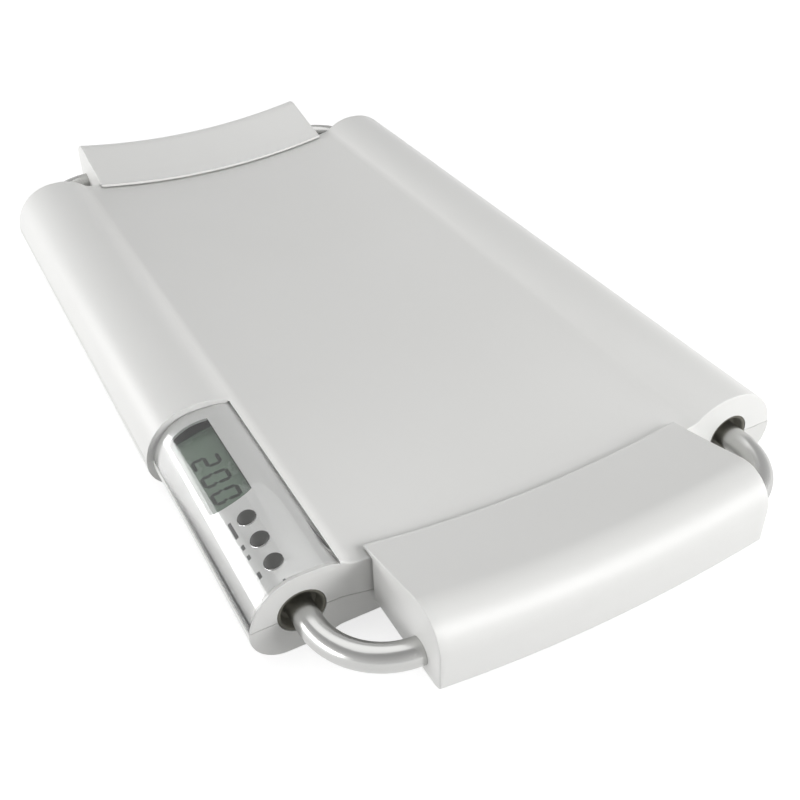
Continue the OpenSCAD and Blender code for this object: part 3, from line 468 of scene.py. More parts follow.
# %% [markdown]
# ## The end blocks
#
# A block is a hollow cap. Its outline, seen from the side, is a lip over the tray's edge, a long
# ramp, a round crest and a flat outer face. It follows the tray's sag, so the outline is swept
# about the tray's own axis. Half of it is swept and cut flat at its side, the side is closed and
# rounded, and the other half is its mirror image.

# %% Draw and sweep half a block
BLOCK_X, BLOCK_GAP, BLOCK_OUT, BLOCK_DOWN, BLOCK_WALL = 101, 2, 70, 27, 2.6
LIP_L, LIP_T, LIP_CLEAR, CREST_R, CREST_H = 8, 2.4, 0.9, 20, 15.3
CREST_D, CREST_CZ, RAMP_TURN, RAMP_MID, BLOCK_CORNER = 50, CREST_H - CREST_R, 14, 16, 3
CROSS_Y = -END - 51

def block_point(out, height):
    return 0, -END - out, TRAY_Z + height

def ramp_points(steps):
    """A soft curve from the lip to the crest, pulled towards one middle point."""
    a = Vector((LIP_T / 2 - LIP_L, LIP_CLEAR + LIP_T))
    slope = math.radians(RAMP_TURN)
    c = Vector((CREST_D, CREST_CZ)) + CREST_R * Vector((-math.sin(slope), math.cos(slope)))
    b = Vector((RAMP_MID, c.y - (c.x - RAMP_MID) * math.tan(slope)))
    shares = [i / steps for i in range(steps + 1)]
    return [(1 - t) ** 2 * a + 2 * t * (1 - t) * b + t * t * c for t in shares]

def draw_block(name):
    block = put_point(name, block_point(BLOCK_GAP, -BLOCK_DOWN))
    run(0, 0, BLOCK_DOWN + LIP_CLEAR)
    run(0, BLOCK_GAP + LIP_L - LIP_T / 2, 0)
    turn(block_point(LIP_T / 2 - LIP_L, LIP_CLEAR + LIP_T / 2), 180, 8, ALONG_X)
    ramp = [block_point(p.x, p.y) for p in ramp_points(16)]
    run_to(ramp[0], *ramp[1:])
    turn(block_point(CREST_D, CREST_CZ), 90 + RAMP_TURN, 22, ALONG_X)
    run(0, 0, BLOCK_CORNER - BLOCK_DOWN - CREST_CZ)
    turn(block_point(BLOCK_OUT - BLOCK_CORNER, BLOCK_CORNER - BLOCK_DOWN), 80, 5, ALONG_X)
    return block

def sweep_block(block):
    bpy.ops.mesh.select_all(action="SELECT")
    turn((0, 0, TRAY_CZ), 12, 14)
    bpy.ops.mesh.select_all(action="SELECT")
    bpy.ops.mesh.bisect(plane_co=at(BLOCK_X, 0, 0), plane_no=(1, 0, 0), clear_outer=True)
    pick("VERT", lambda p, n: near(p.x, BLOCK_X))
    bpy.ops.mesh.edge_face_add()
    pick("EDGE", lambda p, way: near(p.x, BLOCK_X) and near(way.x, 0))
    soften(2, 4)
    weld()

front_block = draw_block("front_block")
sweep_block(front_block)
use(front_block, "MIRROR", use_axis=(True, False, False), use_clip=True, merge_threshold=0.00001)
edit(front_block)
outwards()
use(front_block, "SOLIDIFY", thickness=BLOCK_WALL / 1000, offset=-1, use_even_offset=True)
print("block faces:", len(front_block.data.polygons))

# %% [markdown]
# ### The tube's holes and the second block
#
# The cross bar goes through both sides of a block. A round cutter drills both holes at once. The
# rear block is the front one mirrored, with its faces turned the right way again.

# %% Drill the block and mirror it
BAR_HOLE_R, BAR_HOLE_L = 7.6, 260

def cutter(name, radius, depth, place, turned=(0, 0, 0)):
    rest()
    bpy.ops.mesh.primitive_cylinder_add(vertices=64, radius=radius / 1000, depth=depth / 1000,
                                        location=at(*place), rotation=turned)
    bpy.context.object.name = name
    return bpy.context.object

def drill(piece, tool):
    use(piece, "BOOLEAN", operation="DIFFERENCE", object=tool, solver="EXACT")
    bpy.data.objects.remove(tool)

def mirrored(piece, name, scale):
    """A copy with its own mesh, mirrored through the middle of the scale."""
    take(piece)
    bpy.ops.object.duplicate()
    copy = bpy.context.object
    copy.name = copy.data.name = name
    copy.scale = scale
    bpy.ops.object.transform_apply(location=False, rotation=False, scale=True)
    if scale[0] * scale[1] < 0:
        bpy.ops.object.mode_set(mode="EDIT")
        bpy.ops.mesh.select_all(action="SELECT")
        bpy.ops.mesh.flip_normals()
        rest()
    return copy

drill(front_block, cutter("bar_drill", BAR_HOLE_R, BAR_HOLE_L, (0, CROSS_Y, TUBE_Z), (0, math.pi / 2, 0)))
rear_block = mirrored(front_block, "rear_block", (1, -1, 1))
settle(front_block, "front_carriage", SHELL_WHITE, ["front_block_shell"])
settle(rear_block, "rear_carriage", SHELL_WHITE, ["rear_block_shell"])

# %% [markdown]
# ## The steel tubes
#
# Each tube is one length of steel pipe, bent twice. A ring of points is pulled along the same way
# that the pipe takes: straight, round a bend, across, and back.

# %% Pull a ring along the tube's way
TUBE_R, TUBE_WALL, BEND_R, STUB, LEG_END = 7.5, 1.2, 41, 10, 140.2

def draw_tube(name):
    rest()
    bpy.ops.mesh.primitive_circle_add(vertices=48, radius=TUBE_R / 1000, rotation=(math.pi / 2, 0, 0),
                                      location=at(LEG_X, -LEG_END, TUBE_Z))
    tube = bpy.context.object
    tube.name = tube.data.name = name
    bpy.ops.object.transform_apply(location=True, rotation=True, scale=True)
    bpy.ops.object.mode_set(mode="EDIT")
    bpy.ops.mesh.select_all(action="SELECT")
    run(0, LEG_END - END - STUB, 0)
    turn((LEG_X - BEND_R, -END - STUB, TUBE_Z), -90, 24, ALONG_Z)
    run(2 * (BEND_R - LEG_X), 0, 0)
    turn((BEND_R - LEG_X, -END - STUB, TUBE_Z), -90, 24, ALONG_Z)
    run(0, END + STUB - LEG_END, 0)
    outwards()
    use(tube, "SOLIDIFY", thickness=TUBE_WALL / 1000, offset=-1)
    return tube

front_tube = draw_tube("front_steel_tube")
rear_tube = mirrored(front_tube, "rear_steel_tube", (1, -1, 1))
settle(front_tube, "front_carriage", TUBE_STEEL, ["front_tube"])
settle(rear_tube, "rear_carriage", TUBE_STEEL, ["rear_tube"])
print("tube box:", [round(v, 4) for v in front_tube.dimensions])

# %% [markdown]
# ## The rubber grommets
#
# A grommet fills the round hole in an end face. It's a shallow rubber cup with a soft lip, and the
# tube comes out through its floor. It's a turned shape, so its outline is spun once round the
# tube's axis.

# %% Turn one grommet and copy it to the four legs
def draw_grommet(name):
    """Outline from the hole in its floor to the lip and back along its outside, by radius and depth."""
    outline = [(7.62, 10), (7.62, 6.9), (8.2, 6.3), (10.2, 6.0), (10.8, 5.2), (11.25, 1.2), (11.7, 0.35),
               (12.3, 0.0), (13.0, 0.0), (13.45, 0.4), (13.5, 2.7), (15.0, 2.7), (15.0, 4.7), (13.2, 4.7),
               (12.4, 10)]
    points = [(LEG_X - r, -END + 0.25 + d, TUBE_Z) for r, d in outline]
    ring = put_point(name, points[0])
    run_to(points[0], *points[1:])
    run_to(points[-1], points[0])
    bpy.ops.mesh.select_all(action="SELECT")
    turn((LEG_X, -END, TUBE_Z), 360, 64)
    outwards()
    rest()
    return ring

front_right = draw_grommet("front_right_rubber_grommet")
TWINS = (("left", "front", (-1, 1, 1)), ("right", "rear", (1, -1, 1)), ("left", "rear", (-1, -1, 1)))
for side, end, scale in TWINS:
    twin = mirrored(front_right, f"{end}_{side}_rubber_grommet", scale)
    settle(twin, "body", GROMMET_RUBBER, [f"{end}_{side}_grommet"])
settle(front_right, "body", GROMMET_RUBBER, ["front_right_grommet"])

# %% [markdown]
# ## The console's lens and silver panel
#
# The console is a clear arch over a silver one. Both are arcs again, drawn at the near end and
# pulled to the step. A glass-like lens needs real thickness and closed edges, because light bends
# at each face, so it's a closed shell of 1.1 mm. The keys' holes are drilled square to the
# console's tilt, and the display's window is cut with a box that leans the same way.

# %% Draw an arch and pull it along the console
LENS_T, PANEL_T, TILT, RIM_BEVEL = 1.1, 1.6, 14, 0.4
INNER_GAP, STEP_GAP, KEY_GAP, KEY_DEPTH, END_GAP = 0.1, 0.3, 0.3, 14, 0.2
CUT_LOW, CUT_MIDDLE, CUT_HIGH = 14, 27, 40
WINDOW_U, WINDOW_W, WINDOW_Y, WINDOW_L = -2.5, 26.4, -143.2, 70
KEY_R, KEY_YS = 5, {"power": -234.2, "tare": -216.2, "unit": -198.2}
LEAN = math.radians(-TILT)

def on_console(u, y, w):
    """A place u across, y along and w above the console's own axis, which leans outwards."""
    turned = Matrix.Rotation(LEAN, 3, "Y") @ Vector((u, 0, w))
    return turned.x - RAIL_X, y, turned.z + RAIL_Z

def from_arch(p):
    """How far a point is from the arch's middle line, which is as long as the flat on its top."""
    across = p.x + RAIL_X
    return math.hypot(across - min(max(across, 0), CONSOLE_FLAT), p.z - RAIL_Z)

def draw_arch(name, radius, thick, near_y):
    edge = EDGE_X - INNER_GAP
    start = math.degrees(math.acos((RAIL_X - CONSOLE_FLAT + edge) / radius))
    stop = 180 - math.degrees(math.asin((COVER_Z - RAIL_Z) / radius))
    x, z = rail_point(CONSOLE_FLAT - RAIL_X, start, radius)
    arch = put_point(name, (x, near_y, z))
    turn((CONSOLE_FLAT - RAIL_X, near_y, RAIL_Z), 90 - start, 10)
    run(-CONSOLE_FLAT, 0, 0)
    turn((-RAIL_X, near_y, RAIL_Z), stop - 90, 26)
    bpy.ops.mesh.select_all(action="SELECT")
    run(0, STEP_Y - STEP_GAP - near_y, 0)
    outwards()
    mesh = bmesh.from_edit_mesh(arch.data)
    if sum(f.normal.z for f in mesh.faces) < 0:
        bpy.ops.mesh.flip_normals()
    use(arch, "SOLIDIFY", thickness=thick / 1000, offset=-1, use_even_offset=True)
    edit(arch)
    pick("EDGE", lambda p, way: near(p.y, near_y) and near(way.y, 0) and from_arch(p) > radius - RIM_BEVEL)
    soften(RIM_BEVEL, 3)
    return arch

def key_drill(y):
    return cutter("key_drill", KEY_R + KEY_GAP, KEY_DEPTH, on_console(0, y, CUT_MIDDLE), (0, LEAN, 0))

def window_block(name, u, y, width, length, low, high):
    rest()
    bpy.ops.mesh.primitive_cube_add(size=1, location=at(*on_console(u, y, (low + high) / 2)),
                                    rotation=(0, LEAN, 0), scale=at(width, length, high - low))
    bpy.context.object.name = name
    return bpy.context.object

def bowed(name, low, high, bow=5):
    """A cutter that bows the window's near end, so its edge looks straight on the round panel."""
    near_y = WINDOW_Y - WINDOW_L / 2
    radius = ((WINDOW_W / 2) ** 2 + bow ** 2) / (2 * bow)
    block = window_block(name, WINDOW_U, near_y - 3, WINDOW_W, 10, low, high)
    middle = on_console(WINDOW_U, near_y - bow + radius, CUT_MIDDLE)
    round_end = cutter("round_end", radius, 60, middle, (0, LEAN, 0))
    use(block, "BOOLEAN", operation="INTERSECT", object=round_end, solver="EXACT")
    bpy.data.objects.remove(round_end)
    return block

lens = draw_arch("clear_lens", CONSOLE_R, LENS_T, -END)
panel = draw_arch("silver_panel", PANEL_R, PANEL_T, WALL + END_GAP - END)
for y in KEY_YS.values():
    drill(lens, key_drill(y))
    drill(panel, key_drill(y))
drill(panel, window_block("window_cutter", WINDOW_U, WINDOW_Y, WINDOW_W, WINDOW_L, CUT_LOW, CUT_HIGH))
drill(panel, bowed("bow_cutter", CUT_LOW, CUT_HIGH))
print("lens and panel faces:", len(lens.data.polygons), len(panel.data.polygons))

# %% [markdown]
# ### What the lens and the panel look like
#
# The lens is plain clear acrylic. The panel is a pearl paint: pale, half metallic, with a sparkle
# of tiny flakes. A small plain bar beside each key tells the keys apart, and the smallest box paints
# a dark dot at the console's near edge. All are drawn in the paint itself, as soft boxes in Object
# coordinates.

# %% Clear acrylic and pearl paint
def clear_acrylic():
    clear, tree, shader = new_finish("lens_clear")
    shader.inputs["Base Color"].default_value = (0.985, 0.985, 0.98, 1)
    shader.inputs["Transmission Weight"].default_value = 1
    shader.inputs["IOR"].default_value = 1.49
    mask = use_group(tree, HANDLING, Scale=20.0).outputs["Mask"]
    tree.links.new(spread(tree, mask, 0.01, 0.05), shader.inputs["Roughness"])
    return clear

def soft_box(tree, parts, x0, x1, y0, y1):
    """1 inside a box in X and Y, in millimetres, and 0 outside."""
    inside = None
    for axis, low, high in ((0, x0, x1), (1, y0, y1)):
        for edge, way in ((low, "GREATER_THAN"), (high, "LESS_THAN")):
            test = add(tree, "ShaderNodeMath", operation=way)
            test.inputs[1].default_value = edge / 1000
            tree.links.new(parts.outputs[axis], test.inputs[0])
            if inside is None:
                inside = test.outputs[0]
            else:
                both = add(tree, "ShaderNodeMath", operation="MULTIPLY")
                tree.links.new(inside, both.inputs[0])
                tree.links.new(test.outputs[0], both.inputs[1])
                inside = both.outputs[0]
    return inside

def pearl_paint(bars):
    paint, tree, shader = new_finish("panel_silver", metallic=0.35, coat=0.3)
    where = add(tree, "ShaderNodeTexCoord")
    parts = add(tree, "ShaderNodeSeparateXYZ")
    tree.links.new(where.outputs["Object"], parts.inputs[0])
    flakes = add(tree, "ShaderNodeTexVoronoi")
    flakes.inputs["Scale"].default_value = 4000
    tree.links.new(where.outputs["Object"], flakes.inputs["Vector"])
    paper = mix_colours(tree, flakes.outputs["Color"], (0.66, 0.665, 0.66), (0.78, 0.785, 0.78))
    printed = None
    for bar in bars:
        mark = soft_box(tree, parts, *bar)
        if printed is not None:
            either = add(tree, "ShaderNodeMath", operation="MAXIMUM")
            tree.links.new(printed, either.inputs[0])
            tree.links.new(mark, either.inputs[1])
            mark = either.outputs[0]
        printed = mark
    tree.links.new(mix_colours(tree, printed, paper, (0.10, 0.10, 0.10)), shader.inputs["Base Color"])
    mask = use_group(tree, HANDLING, Scale=14.0).outputs["Mask"]
    tree.links.new(spread(tree, mask, 0.26, 0.34), shader.inputs["Roughness"])
    bump(tree, shader, flakes.outputs["Distance"], 0.05, 0.02)
    return paint

# Four bars beside the keys, and last a small dark dot at the console's near edge
BARS = [(-155.4, -153.7, -206.2, -193.7), (-155.3, -153.7, -215.6, -212.2),
        (-155.3, -153.7, -223.3, -220.1), (-155.3, -153.7, -237.9, -233.5), (-146.9, -145.5, -248.1, -247.2)]
LENS_CLEAR, PANEL_SILVER = clear_acrylic(), pearl_paint(BARS)
settle(lens, "body", LENS_CLEAR, ["console_lens"])

# The lens's edge faces get a pale, opaque finish: a painted highlight for the bright line along the clear
# lens's edges
LENS_EDGE_HIGHLIGHT = finish_of("lens_edge_highlight", (0.80, 0.80, 0.79), (0.74, 0.74, 0.73), (0.3, 0.4), relief=0.1)
lens.data.materials.append(LENS_EDGE_HIGHLIGHT)
edit(lens)
pick("FACE", lambda p, n: abs(n.y) > 0.3 and (p.y < 0.6 - END or p.y > STEP_Y - 0.6)
     or (n.z < -0.3 and p.z < COVER_Z + 0.2) or (n.x > 0.5 and p.x > EDGE_X - 0.3))
lens.active_material_index = 1
bpy.ops.object.material_slot_assign()
rest()
settle(panel, "body", PANEL_SILVER, ["console_panel"])

# %% [markdown]
# ## The keys
#
# A key is a turned button: a low dome over a straight side, a flange that stops it under the panel
# and a stem that reaches down to its switch. Its outline is spun once about an upright axis, the
# dome's rim is rounded, and three copies are leant over onto the console.

# %% Turn one key and lean three copies
KEY_STEM, KEY_LOW, KEY_FLANGE, KEY_EDGE, KEY_TOP = 1.7, 21.2, 25.9, 30.4, 32.1
KEY_DOME = (KEY_R ** 2 + (KEY_TOP - KEY_EDGE) ** 2) / (2 * (KEY_TOP - KEY_EDGE))

def draw_key():
    low = (0, 0, KEY_LOW)
    key = put_point("turned_key", low)
    run_to(low, (KEY_STEM, 0, KEY_LOW), (KEY_STEM, 0, KEY_FLANGE - 1), (KEY_R + 1.1, 0, KEY_FLANGE - 1),
           (KEY_R + 1.1, 0, KEY_FLANGE), (KEY_R, 0, KEY_FLANGE), (KEY_R, 0, KEY_EDGE))
    turn((0, 0, KEY_TOP - KEY_DOME), math.degrees(math.asin(KEY_R / KEY_DOME)), 6)
    bpy.ops.mesh.select_all(action="SELECT")
    turn((0, 0, 0), 360, 48, ALONG_Z)
    outwards()
    pick("EDGE", lambda p, way: near(p.z, KEY_EDGE) and near(way.z, 0) and p.xy.length > KEY_R - 0.2)
    soften(0.45, 4)
    rest()
    return key

def speckled_grey():
    """Matt dark plastic with fine pale specks, as of a coarse spark finish on the mould."""
    grey, tree, shader = new_finish("button_grey", specular=0.35)
    where = add(tree, "ShaderNodeTexCoord")
    specks = add(tree, "ShaderNodeTexNoise")
    specks.inputs["Scale"].default_value = 2600
    tree.links.new(where.outputs["Object"], specks.inputs["Vector"])
    tree.links.new(mix_colours(tree, specks.outputs[0], (0.030, 0.030, 0.029), (0.14, 0.14, 0.135)),
                   shader.inputs["Base Color"])
    mask = use_group(tree, HANDLING, Scale=60.0).outputs["Mask"]
    tree.links.new(spread(tree, mask, 0.5, 0.6), shader.inputs["Roughness"])
    bump(tree, shader, specks.outputs[0], 0.35, 0.05)
    return grey

BUTTON_GREY = speckled_grey()
turned_key = draw_key()
for key, y in KEY_YS.items():
    take(turned_key)
    bpy.ops.object.duplicate()
    copy = bpy.context.object
    copy.name = copy.data.name = key + "_key"
    copy.rotation_euler = (0, LEAN, 0)
    copy.location = at(*on_console(0, y, 0))
    bpy.ops.object.transform_apply(location=True, rotation=True, scale=True)
    settle(copy, key + "_button", BUTTON_GREY, [key + "_button"])
bpy.data.objects.remove(turned_key)
print("keys at:", KEY_YS)

# %% [markdown]
# ## The display
#
# Behind the window lies a reflective display cell: a grey-green slab whose dark figures float just
# above its mirror. The figures are seven-segment ones. One segment is drawn as a flat hexagon, and
# the lit ones are copied from it, slanted, and joined.

# %% The display's figures
LCD_TOP, FIGURE_H, FIGURE_W, STROKE, SLANT = 20.4, 14.4, 8.4, 2.2, 0.22
SEGMENTS = {"a": (0.5, 1.0, 0), "b": (1.0, 0.75, 1), "c": (1.0, 0.25, 1), "d": (0.5, 0.0, 0),
            "e": (0.0, 0.25, 1), "f": (0.0, 0.75, 1), "g": (0.5, 0.5, 0)}
LIT = {"2": "abged", "0": "abcdef"}

def draw_segment(length):
    half, thick = length / 2 + 0.05, STROKE / 2
    tip = half - thick
    points = [(-half, 0, 0), (-tip, -thick, 0), (tip, -thick, 0), (half, 0, 0), (tip, thick, 0),
              (-tip, thick, 0)]
    segment = put_point("segment", points[0])
    run_to(points[0], *points[1:], points[0])
    weld()
    bpy.ops.mesh.edge_face_add()
    rest()
    return segment

def draw_figures(text, first_y, pitch, low_u):
    across, upright = draw_segment(FIGURE_W), draw_segment(FIGURE_H / 2)
    placed = []
    for i, figure in enumerate(text):
        for name in LIT[figure]:
            right, up, standing = SEGMENTS[name]
            take(upright if standing else across)
            bpy.ops.object.duplicate()
            copy = bpy.context.object
            # Reading runs towards the near end, and up is across the console
            u = low_u + up * FIGURE_H
            y = first_y - i * pitch - right * FIGURE_W - up * FIGURE_H * SLANT
            copy.rotation_euler = (0, 0, math.atan(-SLANT) if standing else math.pi / 2)
            copy.location = at(u, y, 0)
            placed.append(copy)
    rest()
    for copy in placed:
        copy.select_set(True)
    bpy.context.view_layer.objects.active = placed[0]
    bpy.ops.object.join()
    bpy.ops.object.transform_apply(location=True, rotation=True, scale=True)
    figures = bpy.context.object
    bpy.data.objects.remove(across)
    bpy.data.objects.remove(upright)
    figures.name = figures.data.name = "display_figures"
    figures.rotation_euler = (0, LEAN, 0)
    figures.location = at(*on_console(0, 0, LCD_TOP + 0.03))
    take(figures)
    bpy.ops.object.transform_apply(location=True, rotation=True, scale=True)
    use(figures, "SOLIDIFY", thickness=0.00004, offset=0)
    return figures

figures = draw_figures("200", -128.8, 15.6, -9.8)
print("figures:", len(figures.data.polygons), "faces")
LCD_INK = finish_of("lcd_ink", (0.008, 0.014, 0.009), (0.012, 0.02, 0.014), (0.3, 0.4), relief=0.02)
settle(figures, "body", LCD_INK)

# %% [markdown]
# ### The display's cell and frame
#
# A reflective display is a glass sandwich. Its mirror looks grey-green, a little cloudy, and fine
# rows of electrodes run across it. That solid keeps the CAD's shape. The frame round it is a black
# moulding, cut again here so that its near end follows the bowed edge of the window.

# %% Finish the display's solids
NODES = frame["nodes"]

def dress(slot, finish):
    """Puts a finish on every CAD solid whose material slot it is."""
    named = [part["node"] for part in frame["record"]["subparts"] if part["material_slot"] == slot]
    for name in named:
        NODES[name].data.materials.clear()
        NODES[name].data.materials.append(finish)
    return named

LCD_GREEN = finish_of("lcd_glass", (0.145, 0.200, 0.155), (0.160, 0.220, 0.170), (0.22, 0.3), cloud=30.0,
                      relief=0.03, lines={"X": 40.0, "Y": 3000.0, "Z": 40.0})
FRAME_BLACK = finish_of("trim_black", (0.016, 0.016, 0.017), (0.022, 0.022, 0.023), (0.35, 0.5),
                        grain=1600.0, relief=0.15)
print("display:", dress("lcd_glass", LCD_GREEN), dress("trim_black", FRAME_BLACK))

# %% Cut the display's frame
FRAME_SIDE, FRAME_FAR, FRAME_NEAR, FRAME_SHELF, FRAME_TOP, CORE_L = 1.2, 2, 9, 1.1, 32, 140
surround = window_block("display_surround", WINDOW_U, WINDOW_Y + (FRAME_FAR - FRAME_NEAR) / 2,
                        WINDOW_W + 2 * FRAME_SIDE, WINDOW_L + FRAME_FAR + FRAME_NEAR,
                        LCD_TOP + 0.02, FRAME_TOP)
core = cutter("arch_core", PANEL_R - PANEL_T - 0.05, CORE_L, (-RAIL_X, WINDOW_Y, RAIL_Z), (math.pi / 2, 0, 0))
use(surround, "BOOLEAN", operation="INTERSECT", object=core, solver="EXACT")
bpy.data.objects.remove(core)
drill(surround, window_block("surround_window", WINDOW_U, WINDOW_Y, WINDOW_W, WINDOW_L, 10, CUT_HIGH))
drill(surround, bowed("surround_bow", LCD_TOP + FRAME_SHELF, CUT_HIGH))
take(surround)
bpy.ops.object.transform_apply(location=True, rotation=True, scale=True)
settle(surround, "body", FRAME_BLACK, ["lcd_frame"])

# %% [markdown]
# ## Plastics and rubbers that stay as the CAD made them
#
# Most inner solids are simple mouldings whose shapes are right. Each only needs its own finish from
# the one recipe: two close colours, a range of gloss, and the size of the grain.

# %% Plastics and rubbers
PLAIN = {
    "base_white": ((0.76, 0.76, 0.745), (0.74, 0.74, 0.72), (0.42, 0.52), 1500.0, 0.12),
    "inner_white": ((0.70, 0.70, 0.685), (0.66, 0.66, 0.64), (0.5, 0.62), 1300.0, 0.15),
    "strip_rubber": ((0.10, 0.10, 0.105), (0.13, 0.13, 0.135), (0.6, 0.7), 2000.0, 0.15),
    "chip_black": ((0.020, 0.020, 0.022), (0.030, 0.030, 0.032), (0.4, 0.55), 3000.0, 0.2),
    "switch_black": ((0.028, 0.028, 0.030), (0.040, 0.040, 0.042), (0.35, 0.5), 2500.0, 0.12),
    "lead_red": ((0.45, 0.020, 0.016), (0.38, 0.022, 0.018), (0.32, 0.42), 1800.0, 0.06),
    "lead_grey": ((0.22, 0.22, 0.225), (0.26, 0.26, 0.265), (0.36, 0.46), 1800.0, 0.06),
    "pad_rubber": ((0.075, 0.075, 0.078), (0.11, 0.11, 0.112), (0.65, 0.8), 900.0, 0.35),
    "bush_acetal": ((0.78, 0.78, 0.76), (0.74, 0.74, 0.72), (0.28, 0.36), 1500.0, 0.06),
    "plug_black": ((0.022, 0.022, 0.023), (0.032, 0.032, 0.033), (0.42, 0.55), 1600.0, 0.14),
}
for slot, (colour, worn, rough, grain, relief) in PLAIN.items():
    print(slot, len(dress(slot, finish_of(slot, colour, worn, rough, grain, relief))))

# %% [markdown]
# ## Metals, boards and batteries
#
# Pressed steel shows the lines of rolling, so the metals use the drawn-lines group with each axis
# stretched as the part was rolled. A board is green lacquer over copper: a cell pattern, cut to thin
# paths, stands for its tracks. A battery's sleeve is printed film with one plain band, and its steel
# ends are left open.

# %% Metals
METALS = {
    "contact_steel": ((0.62, 0.61, 0.58), (0.56, 0.55, 0.52), (0.24, 0.36), (300.0, 2500.0, 300.0)),
    "cell_steel": ((0.52, 0.52, 0.53), (0.44, 0.44, 0.45), (0.32, 0.46), (2500.0, 150.0, 2500.0)),
    "screw_steel": ((0.58, 0.58, 0.60), (0.50, 0.50, 0.52), (0.28, 0.4), (900.0, 900.0, 5000.0)),
}
for slot, (colour, worn, rough, stretch) in METALS.items():
    steel = finish_of(slot, colour, worn, rough, relief=0.1, lines=dict(zip("XYZ", stretch)), metallic=1.0)
    print(slot, len(dress(slot, steel)))

# %% Green boards with tracks
def lacquered_board():
    board, tree, shader = new_finish("board_green", coat=0.4)
    where = add(tree, "ShaderNodeTexCoord")
    cells = add(tree, "ShaderNodeTexVoronoi", feature="DISTANCE_TO_EDGE")
    cells.inputs["Scale"].default_value = 320
    tree.links.new(where.outputs["Object"], cells.inputs["Vector"])
    track = add(tree, "ShaderNodeMapRange", interpolation_type="SMOOTHSTEP")
    track.inputs["From Min"].default_value = 0.06
    track.inputs["From Max"].default_value = 0.12
    tree.links.new(cells.outputs["Distance"], track.inputs["Value"])
    tree.links.new(mix_colours(tree, track.outputs[0], (0.045, 0.20, 0.07), (0.012, 0.085, 0.028)),
                   shader.inputs["Base Color"])
    mask = use_group(tree, HANDLING, Scale=40.0).outputs["Mask"]
    tree.links.new(spread(tree, mask, 0.25, 0.35), shader.inputs["Roughness"])
    bump(tree, shader, track.outputs[0], 0.3, 0.03)
    return board

print("boards:", dress("board_green", lacquered_board()))

# %% Battery sleeves
def battery_sleeve():
    """A dark sleeve with a plain pale band and open steel ends, by the place along the cells."""
    sleeve, tree, shader = new_finish("battery_case", metallic=0.5, coat=0.3)
    where = add(tree, "ShaderNodeTexCoord")
    parts = add(tree, "ShaderNodeSeparateXYZ")
    tree.links.new(where.outputs["Object"], parts.inputs[0])
    low, high = (corner * 1000 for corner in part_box("batteries"))
    film = soft_box(tree, parts, low.x + 2.2, high.x - 2.2, low.y + 2.2, high.y - 2.2)
    band = soft_box(tree, parts, low.x + 12, low.x + 16, low.y + 12, high.y - 12)
    printed = mix_colours(tree, band, (0.035, 0.045, 0.075), (0.42, 0.42, 0.40))
    tree.links.new(mix_colours(tree, film, (0.6, 0.6, 0.58), printed), shader.inputs["Base Color"])
    mask = use_group(tree, HANDLING, Scale=30.0).outputs["Mask"]
    tree.links.new(spread(tree, mask, 0.25, 0.35), shader.inputs["Roughness"])
    bump(tree, shader, use_group(tree, MOULD_GRAIN, Scale=800.0).outputs["Height"], 0.08, 0.03)
    return sleeve

print("batteries:", dress("battery_case", battery_sleeve()), [list(v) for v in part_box("batteries")])
bare = [name for name, solid in NODES.items() if not (solid.data.materials and solid.data.materials[0])]
print("solids still bare:", bare)

# %% [markdown]
# ## Floor, sky and lamps
#
# The picture is a plain studio shot on white. The floor is a little less than white to the lamps,
# so the scale still casts its soft shadow, and glows just enough for the camera, so it reads as
# white paper. The sky is white where the camera, a gloss or a glass looks at it, and only a dim
# fill elsewhere. For a gloss it darkens overhead, which gives the steel its grey bands. A long, low
# soft box on the left draws the bright line along the console, and one from the right front lights
# the end faces.

# %% Studio
def white_floor():
    rest()
    bpy.ops.mesh.primitive_plane_add(size=30, location=at(0, 0, -0.1))
    floor = bpy.context.object
    floor.name = "floor"
    paper, tree, shader = new_finish("floor_paper")
    shader.inputs["Base Color"].default_value = (0.52, 0.52, 0.52, 1)
    shader.inputs["Roughness"].default_value = 0.9
    shader.inputs["Emission Color"].default_value = (1, 1, 1, 1)
    looks = add(tree, "ShaderNodeLightPath")
    either = add(tree, "ShaderNodeMath", operation="MAXIMUM")
    glow = add(tree, "ShaderNodeMath", operation="MULTIPLY")
    # The glow rises with the distance, so that the floor meets the white sky without an edge
    where = add(tree, "ShaderNodeTexCoord")
    away = add(tree, "ShaderNodeVectorMath", operation="LENGTH")
    tree.links.new(where.outputs["Object"], away.inputs[0])
    reach = add(tree, "ShaderNodeMapRange", interpolation_type="SMOOTHSTEP")
    for label, value in (("From Min", 0.45), ("From Max", 1.6), ("To Min", 0.72), ("To Max", 1.0)):
        reach.inputs[label].default_value = value
    tree.links.new(away.outputs["Value"], reach.inputs["Value"])
    tree.links.new(reach.outputs[0], glow.inputs[1])
    tree.links.new(looks.outputs["Is Camera Ray"], either.inputs[0])
    tree.links.new(looks.outputs["Is Glossy Ray"], either.inputs[1])
    tree.links.new(either.outputs[0], glow.inputs[0])
    tree.links.new(glow.outputs[0], shader.inputs["Emission Strength"])
    floor.data.materials.append(paper)
    return floor

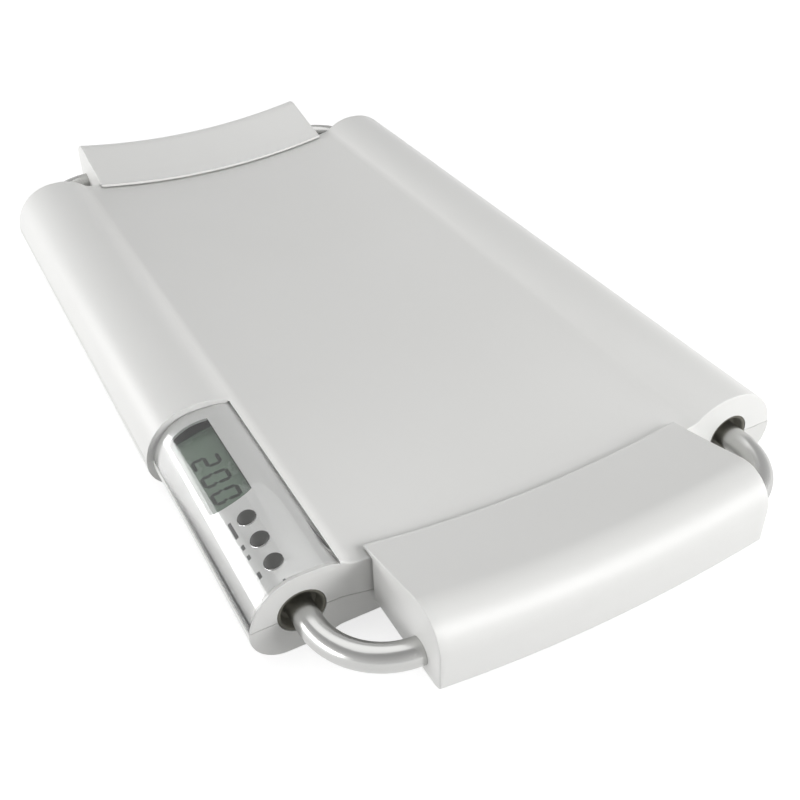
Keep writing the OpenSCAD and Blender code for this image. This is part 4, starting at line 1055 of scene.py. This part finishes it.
def white_sky(fill):
    world = bpy.data.worlds.new("studio_sky")
    world.use_nodes = True
    tree = world.node_tree
    sky = tree.nodes["Background"]
    sky.inputs["Color"].default_value = (1, 1, 1, 1)
    looks = add(tree, "ShaderNodeLightPath")
    first = add(tree, "ShaderNodeMath", operation="MAXIMUM")
    second = add(tree, "ShaderNodeMath", operation="MAXIMUM")
    tree.links.new(looks.outputs["Is Camera Ray"], first.inputs[0])
    tree.links.new(looks.outputs["Is Glossy Ray"], first.inputs[1])
    tree.links.new(first.outputs[0], second.inputs[0])
    tree.links.new(looks.outputs["Is Transmission Ray"], second.inputs[1])
    way = add(tree, "ShaderNodeTexCoord")
    parts = add(tree, "ShaderNodeSeparateXYZ")
    tree.links.new(way.outputs["Generated"], parts.inputs[0])
    overhead = add(tree, "ShaderNodeMath", operation="MULTIPLY")
    tree.links.new(parts.outputs[2], overhead.inputs[0])
    tree.links.new(looks.outputs["Is Glossy Ray"], overhead.inputs[1])
    seen = add(tree, "ShaderNodeMix", data_type="FLOAT")
    seen.inputs[2].default_value = fill
    tree.links.new(second.outputs[0], seen.inputs[0])
    tree.links.new(spread(tree, overhead.outputs[0], 1.0, 0.45), seen.inputs[3])
    tree.links.new(seen.outputs[0], sky.inputs["Strength"])
    bpy.context.scene.world = world

def lamp(name, place, width, height, watts, aim=(0, 0, 0.03)):
    """A soft box: the larger it is, the gentler its reflection in the lens."""
    rest()
    bpy.ops.object.light_add(type="AREA", location=place)
    light = bpy.context.object
    light.name = name
    light.data.shape = "RECTANGLE"
    light.data.size, light.data.size_y = width, height
    light.data.energy = watts
    light.rotation_euler = (Vector(aim) - Vector(place)).to_track_quat("-Z", "Y").to_euler()
    return light

white_floor()
white_sky(0.18)
SOFT_BOXES = {
    "left": ((-1.5, 0.4, 0.34), 2.6, 0.5, 21),
    "right": ((1.0, -1.35, 0.65), 1.5, 0.9, 26),
    "top": ((0.0, 0.3, 1.7), 1.6, 1.6, 9),
}
for name, settings in SOFT_BOXES.items():
    lamp(name, *settings)

# %% [markdown]
# ## The colour view

# %% Set a plain colour view and finish
bpy.context.scene.view_settings.view_transform = "Standard"
rest()
